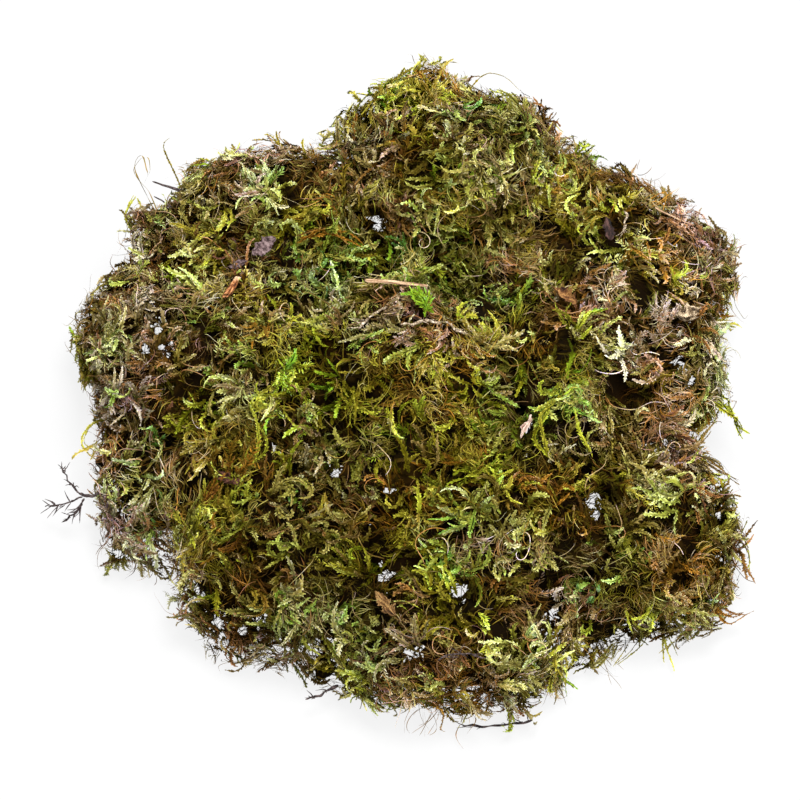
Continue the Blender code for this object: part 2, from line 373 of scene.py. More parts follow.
def growStems(roots, heading, length, steps, start, end, curl, wander):
    # Each stem takes equal steps. Its heading turns about the outward direction at the curl's
    # rate, drifts with a smooth noise, and leans in or out to follow its wanted height, which
    # runs from start to end along the stem.
    look = stemLook
    points = np.empty((len(roots), steps, 3))
    points[:, 0] = roots
    here = roots.copy()
    ahead = unit(heading)
    stride = (length / (steps - 1))[:, None] * mm
    for step in range(1, steps):
        share = step / (steps - 1)
        outward = outwardAt(here)
        wanted = start + (end - start) * share ** 0.8
        lean = np.clip((wanted - depthAt(here)) * look["hold"], -0.8, 0.8)[:, None]
        turn = np.cross(outward, ahead) * (curl * (0.4 + 1.2 * share))[:, None] * stride / mm
        drift = bendNoise(here) * look["drift"] * wander
        flat = ahead - outward * (ahead * outward).sum(1, keepdims=True) * look["flatten"]
        ahead = unit(flat + turn + drift + outward * lean * 0.5)
        here = here + ahead * stride
        here[:, 2] = np.maximum(here[:, 2], 0.5 * mm)
        points[:, step] = here
    return points


def stemFrames(points, roll):
    # along the stem, sideways in the heap's surface and upwards out of it, rolled a little
    along = unit(np.gradient(points, axis=1))
    outward = outwardAt(points)
    side = unit(np.cross(along, outward))
    up = np.cross(side, along)
    cosine = np.cos(roll)[:, None, None]
    sine = np.sin(roll)[:, None, None]
    return along, side * cosine + up * sine, up * cosine - side * sine


def fresh(points):
    # where young green growth lies on top, from 0.12 to 1.12; old brown mats take the rest
    return 0.12 + smoothStep(-0.22, 0.18, 0.7 * hueNoise(points)[:, 1] + 0.6 * patchNoise(points)[:, 1])


def worn(points):
    # 1.3 less the share of young growth
    return 1.3 - fresh(points)


def atEdge(points):
    # more on steep flanks, where the heap's outline is
    return 0.02 + smoothStep(0.25, 0.9, 1 - np.abs(outwardAt(points)[:, 2])) * (points[:, 2] > 6 * mm)


def tangentHeading(points, spread):
    # the flow noise laid flat on the surface, turned at random by up to the spread
    normals = outwardAt(points)
    flow = flowNoise(points)
    flow = unit(flow - normals * (flow * normals).sum(1, keepdims=True))
    angle = rng.uniform(-spread, spread, len(points))[:, None]
    return flow * np.cos(angle) + np.cross(normals, flow) * np.sin(angle)


# The moss colour map holds three palettes side by side: vivid, plain and greyed growth. Each
# has what its red, green and blue are multiplied by.
palettes = [(1.07, 1.06, 0.48), (1.0, 1.0, 1.0), (0.96, 0.98, 1.42)]


def mapPlaces(tone, bright):
    # Tone runs from 0, green, through brown to 1, straw, and the palette's number is added to it.
    across = np.clip(tone, 0.01, len(palettes) - 0.01) / len(palettes)
    return np.stack([across, np.clip(bright, 0.01, 0.99)], -1)


patchLook = {
    "greyness": 0.86, "greyPatches": 2.1, "greyChance": 0.30,  # the mean palette, and how it varies
    "slowTone": 0.24, "quickTone": 0.18,  # how much tone varies over the heap and within a patch
}


def paletteAt(points):
    # the number of the palette: a slow noise over the heap and some chance
    look = patchLook
    grey = look["greyness"] + hueNoise(points)[:, 2] * look["greyPatches"]
    grey = grey + rng.normal(0, look["greyChance"], len(points))
    return np.clip(np.round(grey), 0, len(palettes) - 1)


shadeLook = {
    "darkest": -6.5, "lightest": 1.0,  # heights over the surface between which the painted shade lifts
    "deep": 0.04,  # the brightness left where the painted shade is deepest
    "pits": 0.85, "gaps": 0.5,  # how much painted shade darkens pits and the moss round gaps
}


def shade(points, tone, bright):
    # places on the map, with painted shade: brightness falls with depth under the heap's surface, in pits
    # and round gaps
    look = shadeLook
    unshaded = smoothStep(look["darkest"], look["lightest"], depthAt(points))
    openness = look["deep"] + (1 - look["deep"]) * unshaded * (1 - look["pits"] * pitAt(points))
    openness = openness * (1 - look["gaps"] * gapAt(points))
    return mapPlaces(np.broadcast_to(tone, openness.shape), bright * openness)


leafLook = {  # for leaves of width 1: how far their tips stand out
    "size": (0.75, 1.2), "forward": (0.6, 1.2), "reach": 1.1,
    "sideways": (0.6, 1.1), "rise": (-0.25, 0.5),
    "tops": 1, "topSideways": (-0.55, 0.55), "topRise": (0.35, 0.8),  # leaves on top of a stem
    "glow": (0.4, 1.35),  # how a tip's brightness varies at random, over the painted highlight that tips get
}


def leafyStems(points, width, tone, bright, roll):
    # At every step of a stem: one leaf on each side and some on top. A leaf is a triangle whose
    # foot spans two steps, so leaves overlap like a plait, and whose tip stands out by the width
    # and forward by the reach.
    look = leafLook
    count, steps, _ = points.shape
    along, side, up = stemFrames(points, roll)
    share = np.linspace(0, 1, steps - 1)
    profile = (0.45 + 0.55 * np.minimum(1, share * 5)) * (1 - share ** 3 * 0.75)
    size = width[:, None] * profile * rng.uniform(*look["size"], (count, steps - 1)) * mm
    middle = (points[:, 1:] + points[:, :-1]) / 2
    tips = []
    for leaf in range(2 + look["tops"]):
        if leaf < 2:
            sideways = (1, -1)[leaf] * rng.uniform(*look["sideways"], size.shape)
            rise = rng.uniform(*look["rise"], size.shape)
        else:
            sideways = rng.uniform(*look["topSideways"], size.shape)
            rise = rng.uniform(*look["topRise"], size.shape)
        forward = rng.uniform(*look["forward"], size.shape) * look["reach"]
        way = side[:, 1:] * sideways[..., None] + up[:, 1:] * rise[..., None]
        way = way + along[:, 1:] * forward[..., None]
        tips.append(middle + size[..., None] * way)
    leaves = len(tips)
    tips = np.stack(tips, 2)
    stem = numbering(count, steps - 1, steps)
    ahead = np.arange(count)[:, None] * steps + np.minimum(np.arange(steps - 1) + 2, steps - 1)
    slot = count * steps + numbering(count, steps - 1, steps - 1) * leaves
    corners = []
    for leaf in range(leaves):
        low, high = (ahead, stem) if leaf == 1 else (stem, ahead)
        corners.append(triangles(low, high, slot + leaf))
    # painted light: the stem is darker than the leaf tips, painted shade along the stem and a painted
    # highlight on the tips; tips also brighten towards the shoot's end
    stemBright = bright[:, None] * np.linspace(0.55, 0.8, steps)
    rise = np.linspace(0.8, 1.15, steps - 1)[None, :, None]
    tipTone = tone[:, None, None] + rng.normal(0, 0.03, tips.shape[:3])
    tipBright = bright[:, None, None] * rng.uniform(*look["glow"], tips.shape[:3]) * rise
    verts = np.concatenate([points.reshape(-1, 3), tips.reshape(-1, 3)])
    places = np.concatenate([
        shade(points, tone[:, None] + 0.05, stemBright).reshape(-1, 2),
        shade(tips, tipTone, tipBright).reshape(-1, 2)])
    owner = np.repeat(np.arange(count), steps - 1)
    return verts, np.concatenate(corners), places, np.tile(owner, leaves)


branchletLook = {  # for branchlets of length 1
    "size": (0.35, 1.2), "fatness": (0.1, 0.2), "belly": 0.4,  # the belly's half width and its place
    "angle": (0.85, 0.28), "bend": (0.1, 0.4),  # away from the stem and upwards: mean and spread
    "sweep": (0, 0.5),  # how far the tip turns towards the stem's end
    "glow": (0.6, 1.2),
}


def fronds(points, width, tone, bright, roll):
    # A comb of kite-shaped branchlets on both sides of a thin stem. Each leaves its stem point
    # at an angle, is widest at its belly and sweeps towards the stem's end.
    look = branchletLook
    count, steps, _ = points.shape
    along, side, up = stemFrames(points, roll)
    share = np.linspace(0, 1, steps - 1)
    profile = np.minimum(1, 0.35 + share * 3.5) * (1 - share ** 2.5 * 0.85)
    verts = [points.reshape(-1, 3)]
    # the stem is painted darker than its branchlets: painted shade along the stem
    stemBright = bright[:, None] * np.linspace(0.4, 0.7, steps)
    places = [shade(points, tone[:, None] + 0.06, stemBright).reshape(-1, 2)]
    corners = []
    base = numbering(count, steps - 1, steps)
    ends = count * steps
    for sign in (1, -1):
        size = (width[:, None] * profile * rng.uniform(*look["size"], (count, steps - 1)) * mm)[..., None]
        angle = rng.normal(*look["angle"], size.shape)
        bend = rng.normal(*look["bend"], size.shape)
        way = along[:, :-1] * np.cos(angle) + side[:, :-1] * sign * np.sin(angle) + up[:, :-1] * bend
        across = along[:, :-1] * np.sin(angle) - side[:, :-1] * sign * np.cos(angle)
        root = points[:, :-1]
        belly = root + way * size * look["belly"]
        tip = root + way * size + along[:, :-1] * size * rng.uniform(*look["sweep"], size.shape)
        fat = size * rng.uniform(*look["fatness"], size.shape)
        kite = np.stack([belly + across * fat, tip, belly - across * fat], 2)
        verts.append(kite.reshape(-1, 3))
        glow = bright[:, None, None] * np.array([0.7, 1.15, 0.55])  # belly, tip, belly: a painted highlight at the tip, painted shade at the bellies
        glow = glow * rng.uniform(*look["glow"], (count, steps - 1, 1))
        hue = tone[:, None, None] + rng.normal(0, 0.025, (count, steps - 1, 1)) + np.zeros((1, 1, 3))
        places.append(shade(kite, hue, glow).reshape(-1, 2))
        first = ends + numbering(count, steps - 1, steps - 1) * 3
        fore, back = (first, first + 2)[::sign]
        corners.append(triangles(base, back, first + 1))
        corners.append(triangles(base, first + 1, fore))
        ends += count * (steps - 1) * 3
    owner = np.repeat(np.arange(count), steps - 1)
    return np.concatenate(verts), np.concatenate(corners), np.concatenate(places), np.tile(owner, 4)


def blades(points, width, tone, bright, roll):
    # a flat blade along each stem: two points beside each stem point, one at the tip
    count, steps, _ = points.shape
    _, side, _ = stemFrames(points, roll)
    taper = 1 - np.linspace(0, 1, steps - 1) ** 2 * 0.6
    half = side[:, :-1] * (width[:, None] * taper)[..., None] * mm / 2
    pairs = np.stack([points[:, :-1] - half, points[:, :-1] + half], 2)
    verts = np.concatenate([pairs.reshape(-1, 3), points[:, -1]])
    base = numbering(count, steps - 2, steps - 1) * 2
    last = (np.arange(count) * (steps - 1) + steps - 2) * 2
    tip = count * (steps - 1) * 2 + np.arange(count)
    corners = np.concatenate([
        triangles(base, base + 1, base + 3), triangles(base, base + 3, base + 2),
        triangles(last, last + 1, tip)])
    brightness = bright[:, None] * np.linspace(0.7, 1.1, steps - 1)
    pairPlaces = shade(pairs, tone[:, None, None], brightness[..., None])
    tipPlaces = shade(points[:, -1], tone, bright * 1.1)
    places = np.concatenate([pairPlaces.reshape(-1, 2), tipPlaces])
    owner = np.repeat(np.arange(count), steps - 2)
    return verts, corners, places, np.concatenate([owner, owner, np.arange(count)])


growth = []  # (verts, corners, map places, tuft of each triangle)


def addGrowth(made, stemOwner):
    # keeps a maker's mesh, with the tuft of every triangle's stem
    verts, corners, places, stemOf = made
    growth.append((verts, corners, places, stemOwner[stemOf]))


def toneFor(points, middle, spread):
    # patches of green, olive, brown and rust: a slow noise and a quicker one, plus chance
    slow = patchLook["slowTone"] * hueNoise(points)[:, 0]
    quick = patchLook["quickTone"] * patchNoise(points)[:, 0]
    return middle + slow + quick + rng.normal(0, spread, len(points))


# Where the moss is paler or darker than elsewhere: place, radius and how much.
paleSpots = [
    (-10, 0, 30, -0.17), (-10, -58, 24, -0.20), (28, -20, 20, -0.10), (14, -8, 18, 0.22), (88, 8, 28, 0.48),
    (90, 45, 22, 0.14), (50, -88, 28, 0.30), (58, -46, 24, -0.10), (-28, -48, 20, -0.12), (-5, 28, 22, 0.14),
    (-75, -45, 30, 0.05), (-42, 62, 26, 0.18), (-80, 15, 26, 0.12), (-75, -10, 24, 0.18), (14, 66, 22, 0.02),
    (60, 20, 24, 0.06), (-14, 62, 20, -0.25), (65, 28, 16, 0.28), (13, -36, 18, -0.24), (39, -32, 18, -0.16),
    (-13, -36, 15, 0.22), (65, 2, 17, -0.24), (-45, -52, 22, -0.20), (-12, -77, 20, -0.20),
    (65, -74, 18, -0.20), (-90, -39, 18, 0.22), (-64, 67, 18, 0.16), (39, 58, 18, -0.12),
    (13, -98, 18, 0.16), (13, 85, 18, 0.18),
]


def paleness(points):
    # 1, and more or less near the spots by a bell curve of the distance across the ground
    total = np.ones(len(points))
    for x, y, radius, gain in paleSpots:
        gap = np.linalg.norm(points[:, :2] / mm - (x, y), axis=1)
        total += gain * np.exp(-(gap / radius) ** 2)
    return total


def plant(look):
    # Clumps of stems: every clump has one place, heading, tone and curl, and its stems start
    # near each other and depart from those by a little.
    clumps = look["clumps"]
    each = look["each"]
    centres, owner = scatter(clumps, look.get("keep"))
    heading = tangentHeading(centres, look["turn"])
    tone = toneFor(centres, look["tone"], 0.08)
    bright = rng.uniform(*look["bright"], clumps) * paleness(centres)
    curl = rng.normal(0, look["curl"], clumps)
    lift = relief(centres)
    count = clumps * each
    owner = np.repeat(owner, each)
    normals = np.repeat(outwardAt(centres), each, 0)
    offset = rng.normal(0, look["patch"], (count, 3)) * mm
    offset = offset - normals * (offset * normals).sum(1, keepdims=True)
    start = rng.uniform(*look["start"], count)
    roots = np.repeat(centres, each, 0) + offset
    lift = 0.6 * np.repeat(lift, each) + 0.4 * relief(roots)
    end = rng.uniform(*look["end"], count) + lift
    start = start + lift
    roots = settle(roots, start)
    roots[:, 2] = np.maximum(roots[:, 2], 0.6 * mm)
    heading = unit(np.repeat(heading, each, 0) + rng.normal(0, look["fan"], (count, 3)))
    heading = heading + normals * rng.uniform(-0.1, 0.5, count)[:, None]
    length = rng.uniform(*look["length"], count)
    curls = np.repeat(curl, each) + rng.normal(0, look["curl"] * 0.5, count)
    stems = growStems(roots, heading, length, look["steps"], start, end, curls, look["wander"])
    tones = np.repeat(tone, each) + rng.normal(0, 0.035, count)
    tones = np.clip(tones, 0.03, 0.85) + np.repeat(paletteAt(centres), each)
    brights = np.repeat(bright, each) * rng.uniform(0.8, 1.2, count)
    width = rng.uniform(*look["width"], count)
    roll = rng.normal(0, look["roll"], count)
    print(look["name"], count)
    return stems, width, tones, brights, roll, owner


# In every kind of growth, clumps times each is the number of stems. Length and width are a
# stem's. Start and end are the heights over the heap's surface that it wants there. Turn is how
# far clumps turn away from the flow, in radians, fan how far stems do within a clump, and patch
# the clump's size. Curl bends a stem in its surface, in radians per mm, and wander at random.
# Tone and bright are its colour, roll turns its leaves, and keep says where more of it grows.
shootLook = {
    "name": "leafy shoots", "clumps": 960, "each": 5, "length": (6, 15), "steps": 16, "width": (0.8, 1.6),
    "start": (-5.5, -2.0), "end": (-1.0, 1.8), "turn": 1.8, "fan": 0.34, "patch": 2.0, "curl": 0.14,
    "tone": 0.38, "bright": (0.42, 0.86), "roll": 0.6, "wander": 2.0, "keep": fresh,
}
oldShootLook = {
    "name": "old shoots", "clumps": 620, "each": 5, "length": (5, 12), "steps": 15, "width": (0.6, 1.3),
    "start": (-5, -2.0), "end": (-1.8, 1.2), "turn": 1.8, "fan": 0.36, "patch": 2.0, "curl": 0.14,
    "tone": 0.60, "bright": (0.35, 0.9), "roll": 0.7, "wander": 2.0, "keep": worn,
}
curledLook = {
    "name": "curled shoots", "clumps": 470, "each": 3, "length": (5, 12), "steps": 15, "width": (0.8, 1.5),
    "start": (-5, -1.5), "end": (0.0, 2.8), "turn": math.pi, "fan": 0.4, "patch": 1.6, "curl": 0.28,
    "tone": 0.30, "bright": (0.55, 0.92), "roll": 0.7, "wander": 2.4, "keep": fresh,
}
edgeLook = {
    "name": "edge shoots", "clumps": 330, "each": 2, "length": (6, 14), "steps": 16, "width": (0.6, 1.3),
    "start": (-4, -1.5), "end": (1.0, 5.0), "turn": math.pi, "fan": 0.5, "patch": 2.4, "curl": 0.24,
    "tone": 0.42, "bright": (0.5, 0.95), "roll": 0.8, "wander": 3.2, "keep": atEdge,
}
frondLook = {
    "name": "fronds", "clumps": 470, "each": 3, "length": (5, 12), "steps": 14, "width": (1.0, 2.3),
    "start": (-5, -1.5), "end": (-1.0, 2.0), "turn": 1.8, "fan": 0.36, "patch": 2.4, "curl": 0.2,
    "tone": 0.42, "bright": (0.4, 1.0), "roll": 0.8, "wander": 2.4, "keep": fresh,
}
oldFrondLook = {
    "name": "old fronds", "clumps": 620, "each": 3, "length": (4, 10), "steps": 13, "width": (0.8, 1.9),
    "start": (-4.5, -1.2), "end": (-1.0, 1.6), "turn": 2.2, "fan": 0.36, "patch": 2.0, "curl": 0.2,
    "tone": 0.60, "bright": (0.35, 0.82), "roll": 0.8, "wander": 2.4, "keep": worn,
}
# Undergrowth lies deep, where the painted shade turns it almost black: a dark layer across the creases.
underLook = {
    "name": "undergrowth", "clumps": 3400, "each": 3, "length": (4, 9), "steps": 4, "width": (0.7, 1.5),
    "start": (-9, -5), "end": (-7.5, -4), "turn": math.pi, "fan": 0.6, "patch": 2.0, "curl": 0.12,
    "tone": 0.62, "bright": (0.3, 0.7), "roll": 0.9, "wander": 2.0,
}
matLook = {
    "name": "combed mats", "clumps": 1350, "each": 18, "length": (2.5, 6.5), "steps": 4,
    "width": (0.2, 0.36), "start": (-4, -0.8), "end": (-2.0, 1.2), "turn": 2.6, "fan": 0.34,
    "patch": 1.7, "curl": 0.14, "tone": 0.60, "bright": (0.30, 0.78), "roll": 0.9, "wander": 2.2,
    "keep": worn,
}
fuzzLook = {
    "name": "old stems", "clumps": 1300, "each": 9, "length": (3, 8), "steps": 4, "width": (0.25, 0.5),
    "start": (-7, -2.5), "end": (-4.5, -0.5), "turn": 2.6, "fan": 0.6, "patch": 1.9, "curl": 0.15,
    "tone": 0.58, "bright": (0.35, 0.75), "roll": 0.8, "wander": 2.0,
}
wireLook = {
    "name": "runners", "clumps": 380, "each": 1, "length": (6, 24), "steps": 20, "width": (0.18, 0.34),
    "start": (-4, -1.0), "end": (-0.5, 3.0), "turn": math.pi, "fan": 0.3, "patch": 1, "curl": 0.15,
    "tone": 0.68, "bright": (0.35, 0.75), "roll": 0.3, "wander": 3.4,
    "straws": 0.3, "strawTone": (1.88, 1.97),  # the share that is straw
}
hairLook = {
    "name": "loose hairs", "clumps": 1100, "each": 1, "length": (4, 14), "steps": 8, "width": (0.13, 0.22),
    "start": (-3, -0.5), "end": (0, 2.6), "turn": math.pi, "fan": 0.3, "patch": 1, "curl": 0.16,
    "tone": 0.60, "bright": (0.35, 0.8), "roll": 0.5, "wander": 3.2,
}
strayLook = {
    "name": "stray curls", "clumps": 330, "each": 2, "length": (6, 15), "steps": 13, "width": (0.2, 0.45),
    "start": (-2.5, 0), "end": (1.0, 5.0), "turn": math.pi, "fan": 0.5, "patch": 2.5, "curl": 0.34,
    "tone": 0.66, "bright": (0.25, 0.7), "roll": 0.6, "wander": 4.5, "keep": atEdge,
}


def growMoss():
    # every kind of growth in turn; some of the runners have turned to straw
    kinds = [
        (leafyStems, (shootLook, oldShootLook, curledLook, edgeLook)), (fronds, (frondLook, oldFrondLook)),
        (blades, (matLook, fuzzLook, hairLook, strayLook, underLook)),
    ]
    for make, looks in kinds:
        for look in looks:
            *made, owner = plant(look)
            addGrowth(make(*made), owner)
    look = wireLook
    stems, width, tone, bright, roll, owner = plant(look)
    straws = rng.random(len(tone)) < look["straws"]
    tone = np.where(straws, rng.uniform(*look["strawTone"], len(tone)), tone)
    addGrowth(blades(stems, width, tone, bright, roll), owner)


# Shoots that stand out: kind, how many, how far apart in mm, half width, tone, brightness, and
# the path. A path of three numbers a point is a place. One of two follows the heap's top.
standouts = [
    ("leafy", 4, 1.3, 1.2, 0.28, 0.72, [
        (96, 5, 22), (102, 0, 23), (107, -5, 21), (110, -10, 19), (112, -11, 17)]),
    ("leafy", 2, 0.8, 0.9, 0.30, 0.75, [(101, -44, 16), (109, -48, 16), (112, -54, 13), (110, -59, 11)]),
    ("wire", 10, 2.4, 0.3, 0.66, 0.6, [(95, -19, 18), (102, -23, 19), (107, -27, 16)]),
    ("leafy", 4, 1.5, 0.8, 0.60, 0.6, [(94, -18, 18), (101, -23, 18), (106, -27, 16)]),
    ("leafy", 4, 1.6, 1.0, 0.75, 0.7, [(92, -64, 10), (99, -69, 11), (105, -73, 9), (109, -70, 8)]),
    ("leafy", 3, 1.8, 0.8, 0.36, 0.7, [(84, -68, 8), (87, -76, 6), (88, -84, 2)]),
    ("leafy", 3, 2.0, 0.7, 0.42, 0.7, [(76, -71, 8), (75, -79, 5), (71, -88, 2)]),
    ("wire", 9, 2.4, 0.3, 0.70, 0.5, [(7, -96, 8), (9, -103, 5), (8, -110, 2)]),
    ("wire", 1, 0.2, 0.4, 0.72, 0.5, [(21, -98, 7), (20, -106, 4), (18, -111, 2), (20, -116, 1)]),
    ("leafy", 4, 0.8, 1.0, 0.22, 0.75, [(33, -99, 8), (35, -106, 6), (36, -110, 5), (34, -111, 6)]),
    ("wire", 2, 0.5, 0.5, 0.62, 0.6, [
        (-79, 62, 34), (-83, 70, 36), (-87, 77, 39), (-84, 80, 41), (-81, 76, 40), (-84, 73, 38)]),
    ("leafy", 1, 0.3, 0.6, 0.44, 0.7, [(-70, 66, 38), (-74, 76, 41), (-77, 83, 43), (-74, 86, 44)]),
    ("leafy", 2, 0.6, 0.7, 0.42, 0.7, [(-92, -5, 18), (-99, -8, 20), (-101, -14, 18), (-96, -19, 15)]),
    ("leafy", 1, 0.3, 0.4, 0.50, 0.7, [(20, 92, 56), (26, 101, 58), (33, 102, 57), (38, 98, 56)]),
    ("frond", 3, 1.2, 2.4, 0.07, 0.72, [(9, 6, 68), (7, 11, 70), (2, 16, 70)]),
    ("leafy", 4, 1.6, 1.0, 0.06, 0.65, [(10, 5, 67), (6, 10, 69), (1, 14, 70)]),
    ("frond", 3, 2.6, 1.7, 0.34, 0.62, [(-8, -13), (-8, -6), (-2, -1), (4, -3)]),
    ("frond", 3, 2.6, 1.7, 0.40, 0.60, [(5, -2), (11, -5), (13, -12), (9, -17)]),
    ("frond", 3, 2.4, 1.6, 0.46, 0.60, [(-4, -15), (1, -10), (6, -10), (8, -14)]),
    ("leafy", 5, 1.6, 0.9, 0.20, 0.70, [(57, 79, 42), (60, 82, 46), (62, 82, 48), (61, 79, 49)]),
    ("frond", 2, 1.2, 2.4, 0.40, 0.70, [(59, -41), (68, -43), (76, -46), (82, -52)]),
    ("leafy", 5, 2.4, 1.0, 0.12, 0.60, [(47, -86, 14), (50, -92, 11), (53, -98, 7)]),
    ("wire", 12, 3.6, 0.28, 0.66, 0.35, [(56, -78, 9), (62, -84, 6), (68, -89, 3)]),
    ("wire", 10, 2.4, 0.3, 0.72, 0.6, [(77, 58, 44), (83, 62, 47), (90, 63, 46)]),
    ("leafy", 3, 1.4, 0.9, 0.78, 0.55, [(-33, 43), (-26, 46), (-20, 45), (-12, 40)]),
    ("leafy", 4, 1.8, 1.0, 0.78, 0.50, [(-62, -46), (-58, -40), (-52, -33)]),
    ("frond", 4, 2.2, 2.2, 0.68, 0.50, [(-52, -40), (-47, -31), (-43, -23)]),
    ("frond", 3, 2.2, 2.0, 0.64, 0.48, [(-60, -36), (-53, -30), (-46, -27)]),
    ("leafy", 2, 1.8, 0.9, 0.29, 0.62, [(48, -37), (45, -30), (46, -22), (51, -17)]),
    ("leafy", 2, 1.8, 0.9, 0.30, 0.62, [(60, -34), (58, -26), (55, -20)]),
    ("leafy", 2, 1.6, 0.9, 0.30, 0.60, [(-46, -36), (-44, -28), (-45, -20)]),
    ("frond", 3, 2.4, 2.2, 0.46, 0.65, [(28, -28), (22, -22), (16, -18)]),
    ("leafy", 4, 2.4, 0.8, 0.32, 0.75, [(-86, 58, 30), (-88, 64, 33), (-86, 69, 35)]),
    ("wire", 8, 2.8, 0.3, 0.66, 0.5, [(-96, 22, 24), (-103, 26, 22), (-107, 30, 18)]),
]


standoutKinds = {"leafy": (leafyStems, 1.3), "frond": (fronds, 1.1), "wire": (blades, 0.8)}  # steps per mm


def heapTop(x, y):
    # 0.7 mm over the height where a line down on to the heap first meets its surface
    heights = np.linspace(0.09, 0.0, 181)
    column = np.stack([np.full(181, x * mm), np.full(181, y * mm), heights], -1)
    return heights[np.argmax(depthAt(column) < 0)] / mm + 0.7


def smoothPaths(knots, steps):
    # A curve through each row of knots: between two knots, the cubic whose slope at each is half
    # the step from the knot before it to the knot after it.
    final = knots.shape[1] - 1
    at = np.linspace(0, final, steps)
    low = np.clip(at.astype(int), 0, final - 1)
    part = (at - low)[None, :, None]
    before = knots[:, np.maximum(low - 1, 0)]
    start = knots[:, low]
    end = knots[:, low + 1]
    after = knots[:, np.minimum(low + 2, final)]
    return 0.5 * (2 * start + (end - before) * part + (2 * before - 5 * start + 4 * end - after) * part ** 2
                  + (3 * start - before - 3 * end + after) * part ** 3)


def growStandouts():
    # every standout's points joined by a smooth curve, and copied with a random shift at each
    for kind, count, apart, width, tone, bright, route in standouts:
        make, density = standoutKinds[kind]
        route = np.array([place if len(place) == 3 else (*place, heapTop(*place)) for place in route], float)
        shifts = rng.normal(0, apart, (count, *route.shape)) * (1, 1, 0.4)
        shifts[:, 0] *= 0.5
        reach = np.linalg.norm(np.diff(route, axis=0), axis=1).sum()
        steps = int(reach * density) + 6
        curve = smoothPaths((route + shifts) * mm, steps)
        loosening = 0.3 + np.linspace(0, 1, steps)[:, None]
        curve = curve + bendNoise(curve + rng.uniform(0, 0.05, (count, 1, 3))) * loosening * mm
        curve[..., 2] = np.maximum(curve[..., 2], 0.5 * mm)
        tones = tone + rng.normal(0, 0.03, count)
        brights = bright * rng.uniform(0.85, 1.1, count)
        widths = width * rng.uniform(0.8, 1.2, count)
        addGrowth(make(curve, widths, tones, brights, rng.normal(0, 0.4, count)), ownersOf(curve[:, 0]))
    print("standouts:", len(standouts))


threadLook = {"each": 7, "width": (0.16, 0.36), "tone": (1.55, 1.75), "bright": (0.10, 0.45), "steps": 8,
              "deepest": 12, "overhang": 2.5, "bend": 1.4, "lowTop": 20}


def crossGaps():
    # Thin stems that cross each gap: straight from one side of its line to the other, between
    # the heap's surface and the deepest place, bent with noise.
    look = threadLook
    starts = []
    ends = []
    for foot, way, radius in gapLines():
        line = foot + np.arange(221)[:, None] * way * mm / 2
        inside = np.argwhere(depthAt(line) < 0)[:, 0]
        top = line[inside[-1]] if len(inside) else line[2 * look["lowTop"]]  # no moss on the line
        side = unit(np.cross(way, (1, 0, 0)))
        other = np.cross(way, side)
        turn = rng.uniform(0, 2 * math.pi, (2, look["each"], 1))
        turn[1] = turn[0] + math.pi + rng.normal(0, 0.5, turn[0].shape)
        deep = top - way * rng.uniform(0, look["deepest"], (look["each"], 1)) * mm
        reach = (radius + look["overhang"]) * mm
        starts.append(deep + (side * np.cos(turn[0]) + other * np.sin(turn[0])) * reach)
        ends.append(deep + (side * np.cos(turn[1]) + other * np.sin(turn[1])) * reach)
    starts = np.concatenate(starts)
    share = np.linspace(0, 1, look["steps"])[None, :, None]
    stems = starts[:, None] * (1 - share) + np.concatenate(ends)[:, None] * share
    stems = stems + bendNoise(stems * 1.7) * look["bend"] * mm
    stems[..., 2] = np.maximum(stems[..., 2], 0.5 * mm)
    count = len(stems)
    widths = rng.uniform(*look["width"], count)
    tones = rng.uniform(*look["tone"], count)
    brights = rng.uniform(*look["bright"], count)
    addGrowth(blades(stems, widths, tones, brights, rng.normal(0, 0.8, count)), ownersOf(starts))
    print("stems across gaps:", count)


heartLook = {
    "tuftGrid": (48, 26), "ballGrid": (24, 14),  # points around and rings from top to bottom
    "inset": 6.5,  # how far a heart stays under its tuft's surface
    "lumps": 2.4,
    "skirt": 15, "tuck": 0.34,  # below the skirt's height it is drawn in, at the floor by the tuck
    "ballGrowth": 1.5,  # a ball's radius over its spill's or plug's
    # The heart is painted almost black, as painted shade inside the heap, with a few painted glints.
    "tone": 1.66, "dark": 0.01, "paintedGlint": 0.09, "paintedGlintShare": 0.1,
}
plugs = [  # balls where tufts meet: centre and radius
    (-7, 29, 51, 7), (-4, 22, 54, 6), (-63, -29, 27, 7), (-42, -36, 37, 7), (26, 18, 51, 7),
    (-10, 42, 28, 7), (2, 41, 30, 7), (14, 40, 30, 8), (24, 38, 30, 8), (33, 33, 30, 8), (-33, 20, 28, 7),
]


def addHeart(middle, ways, radius, owner):
    # a closed lump: from the middle along each direction by the radius, less an inset that is
    # smaller between tufts, and roughened with noise; its foot is drawn in towards the middle
    look = heartLook
    rows, around = radius.shape
    verts = middle + ways * radius[..., None]
    lumps = look["lumps"] * (patchNoise(verts)[..., 1] + 0.25 * rng.normal(0, 1, radius.shape))
    inset = np.clip(look["inset"] + depthAt(verts), 0.2, 4 * look["inset"])
    inset = inset + np.abs(lumps) * np.minimum(inset / look["inset"], 1)
    verts = middle + ways * np.maximum(radius - inset * mm, 2 * mm)[..., None]
    low = np.clip(1 - verts[..., 2:] / (look["skirt"] * mm), 0, 1)
    verts[..., :2] += look["tuck"] * low * (middle[:2] - verts[..., :2])
    verts[..., 2] = np.maximum(verts[..., 2], 0.6 * mm)
    here = numbering(rows - 1, around, around)
    beside = np.roll(here, -1, 1)
    corners = np.concatenate([
        triangles(here, here + around, beside), triangles(beside, here + around, beside + around)])
    flat = verts.reshape(-1, 3)
    # painted shade: the heart is almost black, with a few painted glints
    tone = look["tone"] + 0.12 * patchNoise(flat)[:, 0]
    bright = look["dark"] + look["paintedGlint"] * (rng.random(len(flat)) < look["paintedGlintShare"])
    growth.append((flat, corners, mapPlaces(tone, bright), np.full(len(corners), owner)))


